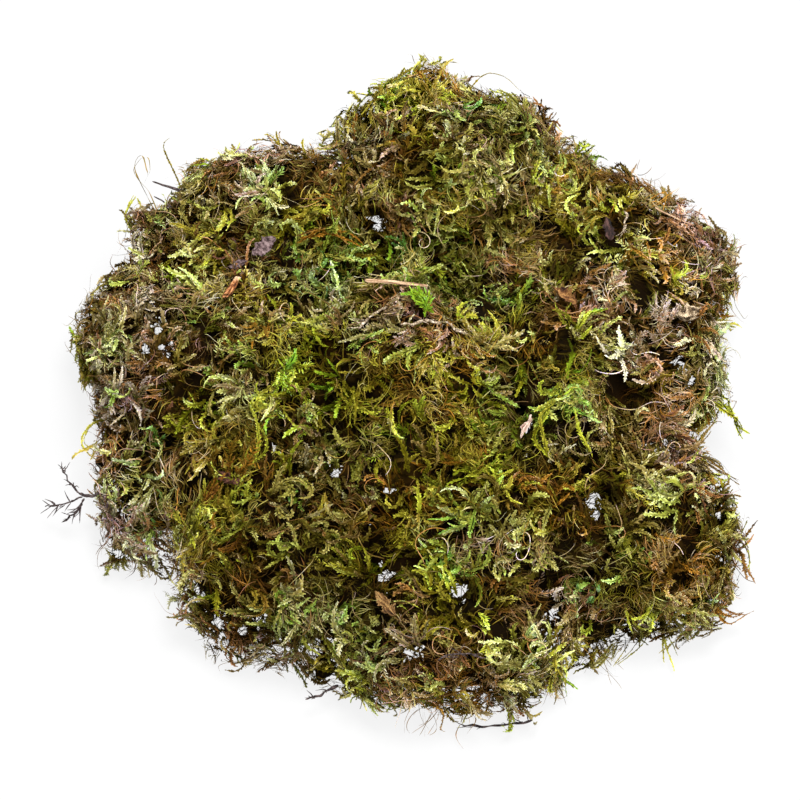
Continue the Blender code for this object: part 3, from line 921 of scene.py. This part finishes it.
def directions(around, rings):
    # unit vectors of a globe's grid: cos(rise) cos(turn), cos(rise) sin(turn), sin(rise)
    turn = np.linspace(0, 2 * math.pi, around, endpoint=False)
    rise = np.linspace(math.pi / 2, -math.pi / 2, rings + 1)
    turns, rises = np.meshgrid(turn, rise)
    return np.stack([np.cos(rises) * np.cos(turns), np.cos(rises) * np.sin(turns), np.sin(rises)], -1)


def makeHearts():
    # Old matted growth inside: each tuft's own surface seen from its middle, and a ball for
    # every spill and plug.
    ways = directions(*heartLook["tuftGrid"])
    for owner, name in enumerate(tuftNames):
        places = tuftArrays[name][0]
        middle = (places.min(0) + places.max(0)) / 2
        tree = tuftTrees[name]
        hits = [tree.ray_cast(Vector(middle), Vector(way))[3] for way in ways.reshape(-1, 3).tolist()]
        addHeart(middle, ways, np.array(hits).reshape(ways.shape[:2]), owner)
    ways = directions(*heartLook["ballGrid"])
    for x, y, z, radius in spills + plugs:
        middle = np.array([x, y, z]) * mm
        radii = np.full(ways.shape[:2], (radius + heartLook["ballGrowth"]) * mm)
        addHeart(middle, ways, radii, ownersOf(middle[None])[0])
    print("hearts:", len(growth))


def startMaterial(name):
    # a material, its node tree and the piece's own map
    material = bpy.data.materials.new(name)
    material.use_nodes = True
    uv = material.node_tree.nodes.new("ShaderNodeUVMap")
    uv.uv_map = "OFBake"
    return material, material.node_tree, uv.outputs["UV"]


def feed(tree, node, inputs):
    # each input is set to a value or linked from another node's output
    for name, value in inputs.items():
        if isinstance(value, bpy.types.NodeSocket):
            tree.links.new(value, node.inputs[name])
        else:
            node.inputs[name].default_value = value
    return node


def addNode(tree, kind, inputs):
    # a node of one kind with its inputs
    return feed(tree, tree.nodes.new("ShaderNode" + kind), inputs)


def addVector(tree, operation, inputs):
    # one vector worked out from others, by an operation such as scaling or multiplying
    node = tree.nodes.new("ShaderNodeVectorMath")
    node.operation = operation
    return feed(tree, node, inputs).outputs["Vector"]


def addBlend(tree, blend, inputs):
    # a mix of two colours
    node = tree.nodes.new("ShaderNodeMix")
    node.data_type = "RGBA"
    node.blend_type = blend
    return feed(tree, node, inputs).outputs["Result"]


def addRange(tree, value, *limits):
    # runs evenly from the third limit to the fourth while the value goes from the first to the second
    names = ("From Min", "From Max", "To Min", "To Max")
    return addNode(tree, "MapRange", {"Value": value, **dict(zip(names, limits))}).outputs["Result"]


def addRamp(tree, value, stops):
    # the stops' colours, and even mixes of them between their places
    node = addNode(tree, "ValToRGB", {"Fac": value})
    elements = node.color_ramp.elements
    while len(elements) < len(stops):
        elements.new(0.5)
    for element, (place, colour) in zip(elements, stops):
        element.position = place
        element.color = (*colour, 1)
    return node.outputs["Color"]


mossFinish = {
    "tones": [  # from green through olive, brown and rust to straw
        (0.00, (0.040, 0.160, 0.030)), (0.12, (0.165, 0.275, 0.034)), (0.26, (0.305, 0.345, 0.066)),
        (0.40, (0.286, 0.266, 0.072)), (0.54, (0.224, 0.175, 0.058)), (0.66, (0.170, 0.105, 0.042)),
        (0.76, (0.280, 0.135, 0.034)), (0.84, (0.140, 0.060, 0.034)), (0.92, (0.400, 0.300, 0.180)),
        (1.00, (0.560, 0.500, 0.380))],
    "light": [  # what brightness multiplies them by; brightness carries the growth's own lightness and the painted shade, and its top is a paler painted highlight
        (0.00, (0.008, 0.006, 0.001)), (0.25, (0.170, 0.148, 0.042)), (0.50, (0.600, 0.575, 0.455)),
        (0.75, (1.060, 1.070, 1.400)), (1.00, (1.180, 1.190, 1.900))],
    "bleachedHighlight": (0.56, 0.55, 0.44, 1), "highlightBleach": (0.66, 1, 0, 0.34),  # the brightest fade to this pale colour: bleached tips and a painted highlight
    "mottle": (0.3, 0.7, 0.74, 1.26),  # how the noise changes the brightness
    "greying": ((0.5, 0.5, 3.0), (0.76, 0.76, -0.42)),  # leaves differ most in blue, from yellow to grey
    "roughness": (0, 1, 0.60, 0.95), "bump": 0.2, "grain": 0.2, "gloss": 0.015,
}


def makeMossMaterial():
    # Colour is the tone's times the light's, which carries the painted shade, faded where bright
    # to bleached tips and a painted highlight, times a noise on the map, which also makes the
    # roughness and the bump.
    look = mossFinish
    material, tree, uv = startMaterial("driedMoss")
    split = addNode(tree, "SeparateXYZ", {"Vector": uv})
    tones = [
        ((number + 0.01 + 0.98 * place) / len(palettes), np.multiply(colour, gains).tolist())
        for number, gains in enumerate(palettes) for place, colour in look["tones"]]
    colour = addBlend(tree, "MULTIPLY", {
        "Factor": 1.0, "A": addRamp(tree, split.outputs["X"], tones),
        "B": addRamp(tree, split.outputs["Y"], look["light"])})
    highlightBleach = addRange(tree, split.outputs["Y"], *look["highlightBleach"])
    colour = addBlend(tree, "MIX", {"Factor": highlightBleach, "A": colour, "B": look["bleachedHighlight"]})
    mottle = addNode(tree, "TexNoise", {"Vector": uv, "Scale": 70.0, "Detail": 3.0}).outputs
    tint = addRange(tree, mottle["Fac"], *look["mottle"])
    gain, shift = look["greying"]
    greying = addVector(tree, "MULTIPLY_ADD", {0: mottle["Color"], 1: gain, 2: shift})
    speckled = addVector(tree, "SCALE", {0: colour, "Scale": tint})
    bump = addNode(tree, "Bump", {
        "Strength": look["bump"], "Distance": look["grain"] * mm, "Height": mottle["Fac"]})
    feed(tree, tree.nodes["Principled BSDF"], {
        "Base Color": addVector(tree, "MULTIPLY", {0: speckled, 1: greying}),
        "Roughness": addRange(tree, mottle["Fac"], *look["roughness"]),
        "Normal": bump.outputs["Normal"], "Specular IOR Level": look["gloss"]})
    return material


def makePiece(name, verts, corners, places, material, node, slotName):
    # one object from triangles, with the map places of every corner
    mesh = bpy.data.meshes.new(name)
    mesh.vertices.add(len(verts))
    mesh.vertices.foreach_set("co", verts.astype(np.float32).ravel())
    mesh.loops.add(corners.size)
    mesh.loops.foreach_set("vertex_index", corners.ravel().astype(np.int32))
    mesh.polygons.add(len(corners))
    mesh.polygons.foreach_set("loop_start", np.arange(0, corners.size, 3, dtype=np.int32))
    layer = mesh.uv_layers.new(name="OFBake")
    layer.uv.foreach_set("vector", places.astype(np.float32).ravel())
    mesh.update(calc_edges=True)
    mesh.validate()
    mesh.materials.append(material)
    piece = bpy.data.objects.new(name, mesh)
    bpy.context.scene.collection.objects.link(piece)
    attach(piece, "root")
    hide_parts(node)
    return piece


clearing = {
    "reach": 9.0, "lean": (0, -0.5, 0.866), "steps": 7,  # length and direction of a column, and spots on it
    "around": 1.0,  # how near to a spot growth goes
    "grid": 0.8,  # columns stand this far apart
    "kept": 0.16,  # the share that stays all the same
}


def clearLitter(middles):
    # Which triangles stay: litter lies on top, so most of what would grow over it is left out.
    # A slanting column over each of the litter's own points is cleared.
    look = clearing
    stay = np.ones(len(middles), bool)
    lean = np.array(look["lean"]) * look["reach"] * mm
    for name in litterNames:
        places, corners = meshArrays(name)
        cells = np.round(places[corners].mean(1) / (look["grid"] * mm))
        spots = np.unique(cells, axis=0) * look["grid"] * mm
        low = np.minimum(spots.min(0), spots.min(0) + lean) - 2 * mm
        high = np.maximum(spots.max(0), spots.max(0) + lean) + 2 * mm
        close = np.argwhere(((middles > low) & (middles < high)).all(1))[:, 0]
        covered = np.zeros(len(close), bool)
        for share in np.linspace(0, 1, look["steps"]):
            for spot in spots + lean * share:
                covered |= np.linalg.norm(middles[close] - spot, axis=1) < look["around"] * mm
        stay[close[covered]] = rng.random(int(covered.sum())) < look["kept"]
    return stay


def buildMoss(material):
    # Every tuft's own growth as one piece, less what covers litter and what lies in a gap. Hearts
    # keep clear of gaps by 1.8 mm more, and the stems across gaps stay.
    verts, corners = joinParts(growth)
    verts[:, 2] = np.maximum(verts[:, 2], 0.2 * mm)
    places = np.concatenate([part[2] for part in growth])
    owners = np.concatenate([part[3] for part in growth])
    middles = verts[corners].mean(1)
    stay = clearLitter(middles)
    stay[:heartCount] = ~inGap(middles[:heartCount], 1.8)
    stay[keptCount:] &= ~inGap(middles[keptCount:], 0)
    owners = owners[stay]
    corners = corners[stay]
    counts = []
    for owner, name in enumerate(tuftNames):
        mine = corners[owners == owner]
        used, local = np.unique(mine, return_inverse=True)
        local = local.reshape(-1, 3)
        piece = name.replace("tuft", "moss")
        makePiece(piece, verts[used], local, places[used][local.ravel()], material, name, "moss")
        counts.append(len(local))
    print("moss triangles:", sum(counts), "most in a piece:", max(counts))


def cornerMap(us, vs):
    # map places of triangles, from the u and the v of their three corners
    return np.stack([np.stack(us, -1), np.stack(vs, -1)], -1).reshape(-1, 2)


def loft(rings):
    # Joins rings of points into a closed skin: strips between rings and a pole at each end.
    # The map runs along the piece in one direction and around it in the other.
    rows, around, _ = rings.shape
    verts = np.concatenate([rings.reshape(-1, 3), rings[:1].mean(1), rings[-1:].mean(1)])
    here = numbering(rows - 1, around, around)
    beside = np.roll(here, -1, 1)
    row, turn = here // around, here % around
    spoke = np.arange(around)
    following = (spoke + 1) % around
    pole = spoke * 0 + rows * around
    last = (rows - 1) * around  # where the last ring's numbers start
    corners = [
        triangles(here, beside, beside + around), triangles(here, beside + around, here + around),
        triangles(pole, following, spoke), triangles(pole + 1, spoke + last, following + last)]
    low = spoke * 0
    high = low + rows - 1
    places = [
        cornerMap([row, row, row + 1], [turn, turn + 1, turn + 1]),
        cornerMap([row, row + 1, row + 1], [turn, turn + 1, turn]),
        cornerMap([low - 0.8, low, low], [spoke + 0.5, spoke + 1, spoke]),
        cornerMap([high + 0.8, high, high], [spoke + 0.5, spoke, spoke + 1])]
    places = (np.concatenate(places) + (1, 0)) / (rows + 1, around)
    return verts, np.concatenate(corners), places * 0.96 + 0.02


def joinLofts(parts):
    # several lofts as one mesh, side by side on the map
    share = 1 / len(parts)
    places = [part[2] * (1, share * 0.94) + (0, share * (row + 0.03)) for row, part in enumerate(parts)]
    return *joinParts(parts), np.concatenate(places)


def wavy(rows, size, strength):
    # smooth chance: random values on a coarse row, read between them
    knots = rng.normal(0, 1, max(3, int(rows / size) + 2))
    return np.interp(np.linspace(0, len(knots) - 1, rows), np.arange(len(knots)), knots) * strength


def stickPath(name, rows):
    # Centre line and radius of a CAD stick: cubic curves fitted to its vertices by their share
    # of the way along its longest direction.
    places = meshArrays(name)[0]
    middle = places.mean(0)
    way = np.linalg.svd(places - middle, full_matrices=False)[2][0]
    at = (places - middle) @ way
    share = (at - at.min()) / np.ptp(at)
    curve = np.polyfit(share, places, 3)
    before, after = stretch.get(name, (0, 0))
    wanted = np.linspace(-before, 1 + after, rows)
    inside = np.clip(wanted, 0, 1)
    path, fitted = [
        np.stack([np.polyval(curve[:, axis], along) for axis in range(3)], -1) for along in (inside, share)]
    path = path + (wanted - inside)[:, None] * np.ptp(at) * way  # straight on past the ends
    radius = np.polyval(np.polyfit(share, np.linalg.norm(places - fitted, axis=1), 1), inside)
    if radius[-1] > radius[0]:  # thin end last
        path, radius = path[::-1].copy(), radius[::-1].copy()
    return path, radius / mm


def stickRings(path, radius, look, around=12):
    # a ring at every path point: the radius swells at knots, runs in ridges and ends round
    rows = len(path)
    along = unit(np.gradient(path, axis=0))
    side = unit(np.cross(along, (0.03, 0.02, 1.0)))
    up = np.cross(side, along)
    share = np.linspace(0, 1, rows)
    turn = np.linspace(0, 2 * math.pi, around, endpoint=False)
    swell = 1 + wavy(rows, 2.5, look["knobs"])
    ends = np.minimum(1, np.minimum(share, 1 - share) * rows / 2.2 + 0.35)
    ridge = look["ridges"] * np.cos(turn * 4 + share[:, None] * look["twist"] + wavy(rows, 3, 0.6)[:, None])
    rough = rng.normal(0, look["rough"], (rows, around))
    size = radius[:, None] * (swell * ends)[:, None] * (1 + ridge + rough) * mm
    sway = side * wavy(rows, 5, look["sway"])[:, None]
    sway = sway + up * wavy(rows, 5, look["sway"] * 0.5)[:, None]
    centre = path + sway * mm
    centre[:, 2] = np.maximum(centre[:, 2], radius * 1.4 * mm + 0.2 * mm)
    across = side[:, None] * np.cos(turn)[:, None]
    return centre[:, None] + size[..., None] * (across + up[:, None] * np.sin(turn)[:, None] * look["flat"])


def rootlets(path, count, length, thickness, back, look):
    # thin tapering threads that leave a stick over the last part of it and lean towards its end
    parts = []
    for _ in range(count):
        place = int(len(path) * (1 - back * rng.random())) - 1
        start = path[place]
        along = unit(path[place] - path[max(place - 3, 0)] + 1e-9)
        way = unit(along * rng.uniform(0.5, 1.2) + rng.normal(0, 0.45, 3))
        reach = rng.uniform(*length) * mm
        share = np.linspace(0, 1, 9)[:, None]
        bend = unit(rng.normal(0, 1, 3)) * reach * 0.25
        line = start + way * share * reach + bend * share ** 2
        line[:, 2] = np.maximum(line[:, 2], 0.5 * mm)
        parts.append(loft(stickRings(line, thickness * (1 - 0.5 * share[:, 0]), look, 6)))
    return parts


deadTwig = {"slot": "dead_twig", "rows": 30, "slim": 0.85, "flat": 1.0, "knobs": 0.20, "ridges": 0.10,
            "twist": 3.0, "rough": 0.06, "sway": 0.22}
fineTwig = dict(deadTwig, slim=0.78, knobs=0.16)
paleRoot = {"slot": "pale_root", "rows": 34, "slim": 0.78, "flat": 0.9, "knobs": 0.24, "ridges": 0.08,
            "twist": 5.0, "rough": 0.07, "sway": 0.34}
dryStraw = {"slot": "straw", "rows": 34, "slim": 0.95, "flat": 0.6, "knobs": 0.05, "ridges": 0.16,
            "twist": 0.4, "rough": 0.03, "sway": 0.05}
needleSkin = {"slot": "dead_twig", "rows": 24, "slim": 0.9, "flat": 0.85, "knobs": 0.06, "ridges": 0.08,
              "twist": 0.0, "rough": 0.02, "sway": 0.08}
sticks = {
    "straw_stalk": dryStraw, "straw_long": dryStraw, "straw_short": dryStraw,
    "root_pale": paleRoot, "root_fork_long": paleRoot, "root_fork_short": paleRoot,
    "twig_grey": dict(paleRoot, slim=0.7), "stem_dark_curved": fineTwig, "twiglet_stem": fineTwig,
    "twiglet_branch_up": fineTwig, "twiglet_branch_out": fineTwig, "twiglet_branch_down": fineTwig,
    "needle_thick": needleSkin, "needle_thin": needleSkin, "twig_dark": deadTwig,
    "stick_dark": dict(deadTwig, slim=0.7),
}
stretch = {  # how far a skin runs past its stick's two ends, as shares of the stick's length
    "twiglet_stem": (0.12, 0.9), "twiglet_branch_up": (0.15, 0.1), "twiglet_branch_out": (0.0, 0.12),
    "twiglet_branch_down": (0.0, 0.12),
}
brushes = {  # threads on a stick: how many, how long, how thick, and over what share from its thin end
    "twiglet_branch_down": (18, (1.8, 5.5), 0.21, 0.85), "twiglet_branch_out": (16, (1.5, 5.0), 0.20, 0.85),
    "twiglet_branch_up": (14, (1.2, 4.5), 0.20, 0.8), "root_pale": (7, (2.0, 5.5), 0.2, 0.5),
    "root_fork_long": (6, (1.5, 4.5), 0.18, 0.6), "root_fork_short": (5, (1.5, 4.0), 0.17, 0.6),
    "twig_dark": (7, (1.5, 5.0), 0.2, 0.7), "twig_grey": (5, (1.5, 4.0), 0.17, 0.7),
    "stick_dark": (8, (1.0, 4.5), 0.2, 0.9), "stem_dark_curved": (10, (1.5, 5.5), 0.18, 0.9),
}


def makeSticks(materials):
    # each stick's skin and its threads as one piece
    for name, look in sticks.items():
        path, radius = stickPath(name, look["rows"])
        parts = [loft(stickRings(path, radius * look["slim"], look))]
        if name in brushes:
            parts += rootlets(path, *brushes[name], look)
        makePiece(name + "_bark", *joinLofts(parts), materials[look["slot"]], name, look["slot"])
    print("sticks:", len(sticks))


def plateFrame(name):
    # Middle, directions and half sizes of a CAD flake, its narrower end ahead, and its height
    # over the flat as a quadratic of the place along and across.
    places = meshArrays(name)[0]
    middle = (places.min(0) + places.max(0)) / 2
    axes = np.linalg.svd(places - places.mean(0), full_matrices=False)[2].copy()
    at = (places - middle) @ axes.T
    if np.abs(at[at[:, 0] > 0, 1]).mean() > np.abs(at[at[:, 0] < 0, 1]).mean():
        axes[0] = -axes[0]
    if axes[2, 2] < 0:
        axes[2] = -axes[2]
    axes[1] = np.cross(axes[2], axes[0])
    at = (places - middle) @ axes.T
    half = np.abs(at).max(0)
    u, v = at[:, 0] / half[0], at[:, 1] / half[1]
    terms = np.stack([np.ones_like(u), u, v, u * u, u * v, v * v], -1)
    bow = np.linalg.lstsq(terms, at[:, 2], rcond=None)[0]
    return middle, axes, half, bow


grainNoise = makeNoise(21, 0.9, 3)
crumpleNoise = makeNoise(22, 2.2, 3)


def flakeRings(name, look):
    # A flat loft along the flake: half width from the outline's powers at both ends, torn and
    # swaying edges, then the CAD bow, lengthwise ridges, a twist and crumpling on its height.
    middle, axes, half, bow = plateFrame(name)
    rows, around = 36, 28
    u = np.linspace(-0.985, 0.985, rows)
    turn = np.linspace(0, 2 * math.pi, around, endpoint=False) - math.pi / 2
    back, front = look["ends"]
    wide = np.where(u < 0, (1 - np.abs(u) ** back) ** 0.6, (1 - np.abs(u) ** front) ** 0.8)
    left = wide * (1 + wavy(rows, 3, look["torn"]) + wavy(rows, 1.2, look["torn"] * 0.5))
    right = wide * (1 + wavy(rows, 3, look["torn"]) + wavy(rows, 1.2, look["torn"] * 0.5))
    across = np.cos(turn)[None, :] * look["width"]
    v = across * np.where(across > 0, left[:, None], right[:, None]) + wavy(rows, 12, look["sway"])[:, None]
    uu = np.repeat(u[:, None], around, 1)
    height = bow[0] + bow[1] * uu + bow[2] * v + bow[3] * uu * uu + bow[4] * uu * v + bow[5] * v * v
    ridge = look["ridge"] * np.cos(v * look["ridges"] * math.pi + wavy(rows, 6, 0.5)[:, None]) * mm
    lift = look["curl"] * uu ** 2 * mm + look["fold"] * np.abs(v) * mm
    angle = look["twist"] * uu
    flatPlace = np.stack([uu * half[0], v * half[1]], -1)
    seeds = np.concatenate([flatPlace, np.zeros_like(uu)[..., None]], -1) + middle * 3
    crumple = look["crumple"] * crumpleNoise(seeds)[..., 0] * mm
    grain = look["grain"] * grainNoise(seeds)[..., 1] * mm
    thick = look["thick"] * np.sin(turn)[None, :] * np.minimum(1, wide * 2)[:, None] * mm / 2
    rise = height + ridge + lift + crumple + grain + thick
    sideways = v * half[1]
    over = sideways * np.cos(angle) - rise * np.sin(angle)
    out = sideways * np.sin(angle) + rise * np.cos(angle)
    rings = middle + np.stack([uu * half[0], over, out], -1) @ axes
    rings[..., 2] = np.maximum(rings[..., 2], 0.3 * mm) + look["raise"] * mm
    return rings


flatLitter = {
    "ends": (4, 2),  # powers of the outline towards its blunt and its narrow end
    "width": 1.0, "thick": 0.5, "raise": 0.3, "torn": 0.12, "sway": 0.05, "ridge": 0.05, "ridges": 3,
    "curl": 0.3, "fold": 0.0, "twist": 0.0, "crumple": 0.25, "grain": 0.08,
}
flakes = {
    "bark_flake_purple": dict(flatLitter, slot="purple_bark", ends=(1.3, 2.4), width=0.85, torn=0.16,
                              crumple=0.6, grain=0.26, thick=0.9),
    "bark_scrap_purple": dict(flatLitter, slot="purple_bark", ends=(2, 1.4), crumple=0.4, grain=0.15,
                              twist=0.4, thick=0.6),
    "bark_piece_brown": dict(flatLitter, slot="purple_bark", finish="shaded_bark_brown", ends=(2, 2.2), width=0.8,
                             torn=0.2, crumple=0.5, grain=0.15, thick=1.1),
    "leaf_scrap_brown": dict(flatLitter, slot="red_leaf", ends=(1.3, 1.2), torn=0.15, fold=0.6, crumple=0.4,
                             thick=0.3),
    "wood_chip_pale": dict(flatLitter, slot="pale_wood", ends=(1.6, 1.2), width=0.7, torn=0.22, ridge=0.12,
                           ridges=4, thick=0.7, sway=0.1),
    "leaf_orange_curled": dict(flatLitter, slot="orange_leaf", ends=(1.6, 1.3), width=0.75, torn=0.28,
                               fold=1.5, twist=0.9, crumple=1.1, thick=0.3, curl=0.9, ridge=0.3),
    "leaf_red_brown": dict(flatLitter, slot="red_leaf", ends=(1.8, 1.2), width=0.75, torn=0.28, fold=1.2,
                           twist=-0.9, crumple=0.9, thick=0.3, curl=0.8, ridge=0.3),
    "cone_scale": dict(flatLitter, slot="cone_scale", ends=(1.6, 1.5), width=0.66, torn=0.2, ridge=0.34,
                       ridges=5, crumple=0.4, thick=0.7),
    "leaf_tan_crumpled": dict(flatLitter, slot="tan_leaf", ends=(2.2, 1.8), width=0.95, torn=0.3, fold=0.6,
                              twist=0.5, crumple=1.7, grain=0.2, thick=0.3, curl=0.8),
}


def makeFlakes(materials):
    # each flake's loft, its rings reversed so that faces point outwards
    for name, look in flakes.items():
        finish = materials[look.get("finish", look["slot"])]
        makePiece(name + "_skin", *loft(flakeRings(name, look)[:, ::-1]), finish, name, look["slot"])
    print("flakes:", len(flakes))


splinterLook = {
    "fibres": 9, "rows": 26, "radius": (0.35, 0.70), "start": (-1.0, -0.8), "end": (0.55, 1.1),
    "spread": 0.52, "lean": 0.10, "turn": 0.60,
}
fibreSkin = {"knobs": 0.10, "ridges": 0.12, "twist": 1.0, "rough": 0.05, "sway": 0.12, "flat": 0.8}


def makeSplinter(materials):
    # a torn bundle of parallel fibres, of different lengths, that fan out at the pale end
    look = splinterLook
    middle, axes, half, bow = plateFrame("splinter_orange")
    parts = []
    for fibre in range(look["fibres"]):
        across = (fibre + 0.5) / look["fibres"] * 2 - 1
        u = np.linspace(rng.uniform(*look["start"]), rng.uniform(*look["end"]), look["rows"])
        v = across * look["spread"] * (0.85 + 0.3 * (u + 1) / 2) + look["turn"] * u + rng.normal(0, 0.05)
        height = bow[0] + bow[3] * u * u + rng.normal(0.25, 0.3) * mm
        height = height + look["lean"] * (u + 1) ** 2 * mm * rng.uniform(0, 3)
        line = middle + np.stack([u * half[0], v * half[1], height], -1) @ axes
        radius = rng.uniform(*look["radius"]) * (1 - 0.5 * np.abs(u) ** 3)
        parts.append(loft(stickRings(line, radius, fibreSkin, 9)))
    made = joinLofts(parts)
    makePiece("splinter_orange_fibres", *made, materials["orange_wood"], "splinter_orange", "orange_wood")


# colours from dark through middle to light, streak counts along and around, and the bump's strength
litterFinish = {
    "dead_twig": ((0.006, 0.004, 0.004), (0.026, 0.018, 0.017), (0.075, 0.055, 0.052), (9, 5), 0.5),
    "straw": ((0.050, 0.022, 0.010), (0.230, 0.140, 0.078), (0.400, 0.290, 0.190), (3, 9), 0.3),
    "pale_root": ((0.030, 0.018, 0.010), (0.150, 0.108, 0.068), (0.370, 0.320, 0.250), (11, 5), 0.5),
    "purple_bark": ((0.008, 0.004, 0.004), (0.058, 0.036, 0.036), (0.140, 0.100, 0.098), (9, 9), 0.9),
    "red_leaf": ((0.006, 0.002, 0.001), (0.036, 0.013, 0.007), (0.090, 0.038, 0.023), (5, 14), 0.6),
    "orange_wood": ((0.018, 0.005, 0.002), (0.150, 0.048, 0.014), (0.330, 0.170, 0.070), (3, 46), 0.7),
    "pale_wood": ((0.080, 0.036, 0.026), (0.300, 0.205, 0.155), (0.560, 0.460, 0.390), (3, 20), 0.6),
    "orange_leaf": ((0.006, 0.002, 0.001), (0.070, 0.026, 0.007), (0.190, 0.100, 0.032), (4, 12), 0.8),
    "cone_scale": ((0.005, 0.002, 0.001), (0.080, 0.036, 0.010), (0.260, 0.160, 0.058), (2, 18), 1.0),
    "tan_leaf": ((0.006, 0.003, 0.002), (0.080, 0.052, 0.027), (0.380, 0.300, 0.200), (6, 9), 0.9),
    # the brown bark piece: its own dark brown, made darker still by painted shade of the hollow it lies in
    "shaded_bark_brown": ((0.001, 0.001, 0.001), (0.012, 0.005, 0.004), (0.060, 0.030, 0.024), (1.6, 5), 0.6),
}
# a pale end: colour, the map's u where it starts and where it is full, and how pale it gets
paleTips = {"orange_wood": ((0.520, 0.380, 0.240, 1), (0.30, 0.02, 0, 1))}


def makeLitterMaterials():
    # Streaks are a noise stretched along the piece's own map. A finer noise speckles them, and
    # both drive the colour, the roughness and the bump.
    made = {}
    for name, (dark, middle, light, streaks, depth) in litterFinish.items():
        material, tree, uv = startMaterial(name + "_grain")
        stretched = addNode(tree, "Mapping", {"Vector": uv, "Scale": (*streaks, 1)}).outputs["Vector"]
        streak = addNode(tree, "TexNoise", {
            "Vector": stretched, "Scale": 1.0, "Detail": 5.0, "Roughness": 0.6})
        speckle = addNode(tree, "TexNoise", {"Vector": uv, "Scale": 45.0, "Detail": 3.0})
        both = addNode(tree, "Mix", {
            "Factor": 0.32, "A": streak.outputs["Fac"], "B": speckle.outputs["Fac"]}).outputs["Result"]
        colour = addRamp(tree, both, [(0.42, dark), (0.5, middle), (0.59, light)])
        if name in paleTips:
            tip, limits = paleTips[name]
            along = addNode(tree, "SeparateXYZ", {"Vector": uv}).outputs["X"]
            fade = addRange(tree, along, *limits)
            colour = addBlend(tree, "SCREEN", {"Factor": fade, "A": colour, "B": tip})
        bump = addNode(tree, "Bump", {"Strength": depth, "Distance": 0.6 * mm, "Height": both})
        feed(tree, tree.nodes["Principled BSDF"], {
            "Base Color": colour, "Roughness": addRange(tree, both, 0, 1, 0.9, 0.6),
            "Normal": bump.outputs["Normal"], "Specular IOR Level": 0.10})
        made[name] = material
    return made


floorLook = {"side": 4.0, "drop": 0.2, "base": 0.045, "glow": 0.84}  # a lit table, just white


def makeStage():
    # a square just under the part, pale and glowing a little
    look = floorLook
    bpy.ops.mesh.primitive_plane_add(size=look["side"], location=(0, 0, -look["drop"] * mm))
    floor = bpy.context.object
    floor.name = "floor"
    material = bpy.data.materials.new("paleFloor")
    material.use_nodes = True
    feed(material.node_tree, material.node_tree.nodes["Principled BSDF"], {
        "Base Color": (*[look["base"]] * 3, 1), "Roughness": 1.0, "Specular IOR Level": 0.0,
        "Emission Color": (1, 1, 1, 1), "Emission Strength": look["glow"]})
    floor.data.materials.append(material)


lightLook = {
    "key": ((0.15, 0.16, 1.08), 0.46, 36.5),  # place, side and watts of each lamp
    "fill": ((0.5, -0.7, 0.8), 0.9, 11.0),
    "sky": 1.20,
}


def makeLights():
    # two square lamps that face the part, and an even sky
    for name in ("key", "fill"):
        place, side, power = lightLook[name]
        lamp = bpy.data.lights.new(name, "AREA")
        lamp.size = side
        lamp.energy = power
        thing = bpy.data.objects.new(name, lamp)
        thing.location = place
        thing.rotation_euler = (Vector((0, 0, 0.02)) - Vector(place)).to_track_quat("-Z", "Y").to_euler()
        bpy.context.scene.collection.objects.link(thing)
    world = bpy.data.worlds.new("paleRoom")
    world.use_nodes = True
    tree = world.node_tree
    feed(tree, tree.nodes["Background"], {"Color": (1, 1, 1, 1), "Strength": lightLook["sky"]})
    bpy.context.scene.world = world


def makeCamera():
    # from the eye's place towards the aim
    camera = bpy.data.cameras.new("camera")
    camera.lens = cameraLook["lens"]
    camera.sensor_width = 36
    thing = bpy.data.objects.new("camera", camera)
    thing.location = eyePlace()
    thing.rotation_euler = (Vector(cameraLook["aim"]) - thing.location).to_track_quat("-Z", "Y").to_euler()
    bpy.context.scene.collection.objects.link(thing)
    bpy.context.scene.camera = thing
    bpy.context.scene.view_settings.view_transform = "Standard"


makeHearts()
heartCount = sum(len(part[1]) for part in growth)  # triangles, and they come first
crossGaps()
keptCount = sum(len(part[1]) for part in growth)
growMoss()
growStandouts()
buildMoss(makeMossMaterial())
litterMaterials = makeLitterMaterials()
makeSticks(litterMaterials)
makeFlakes(litterMaterials)
makeSplinter(litterMaterials)
makeStage()
makeLights()
makeCamera()
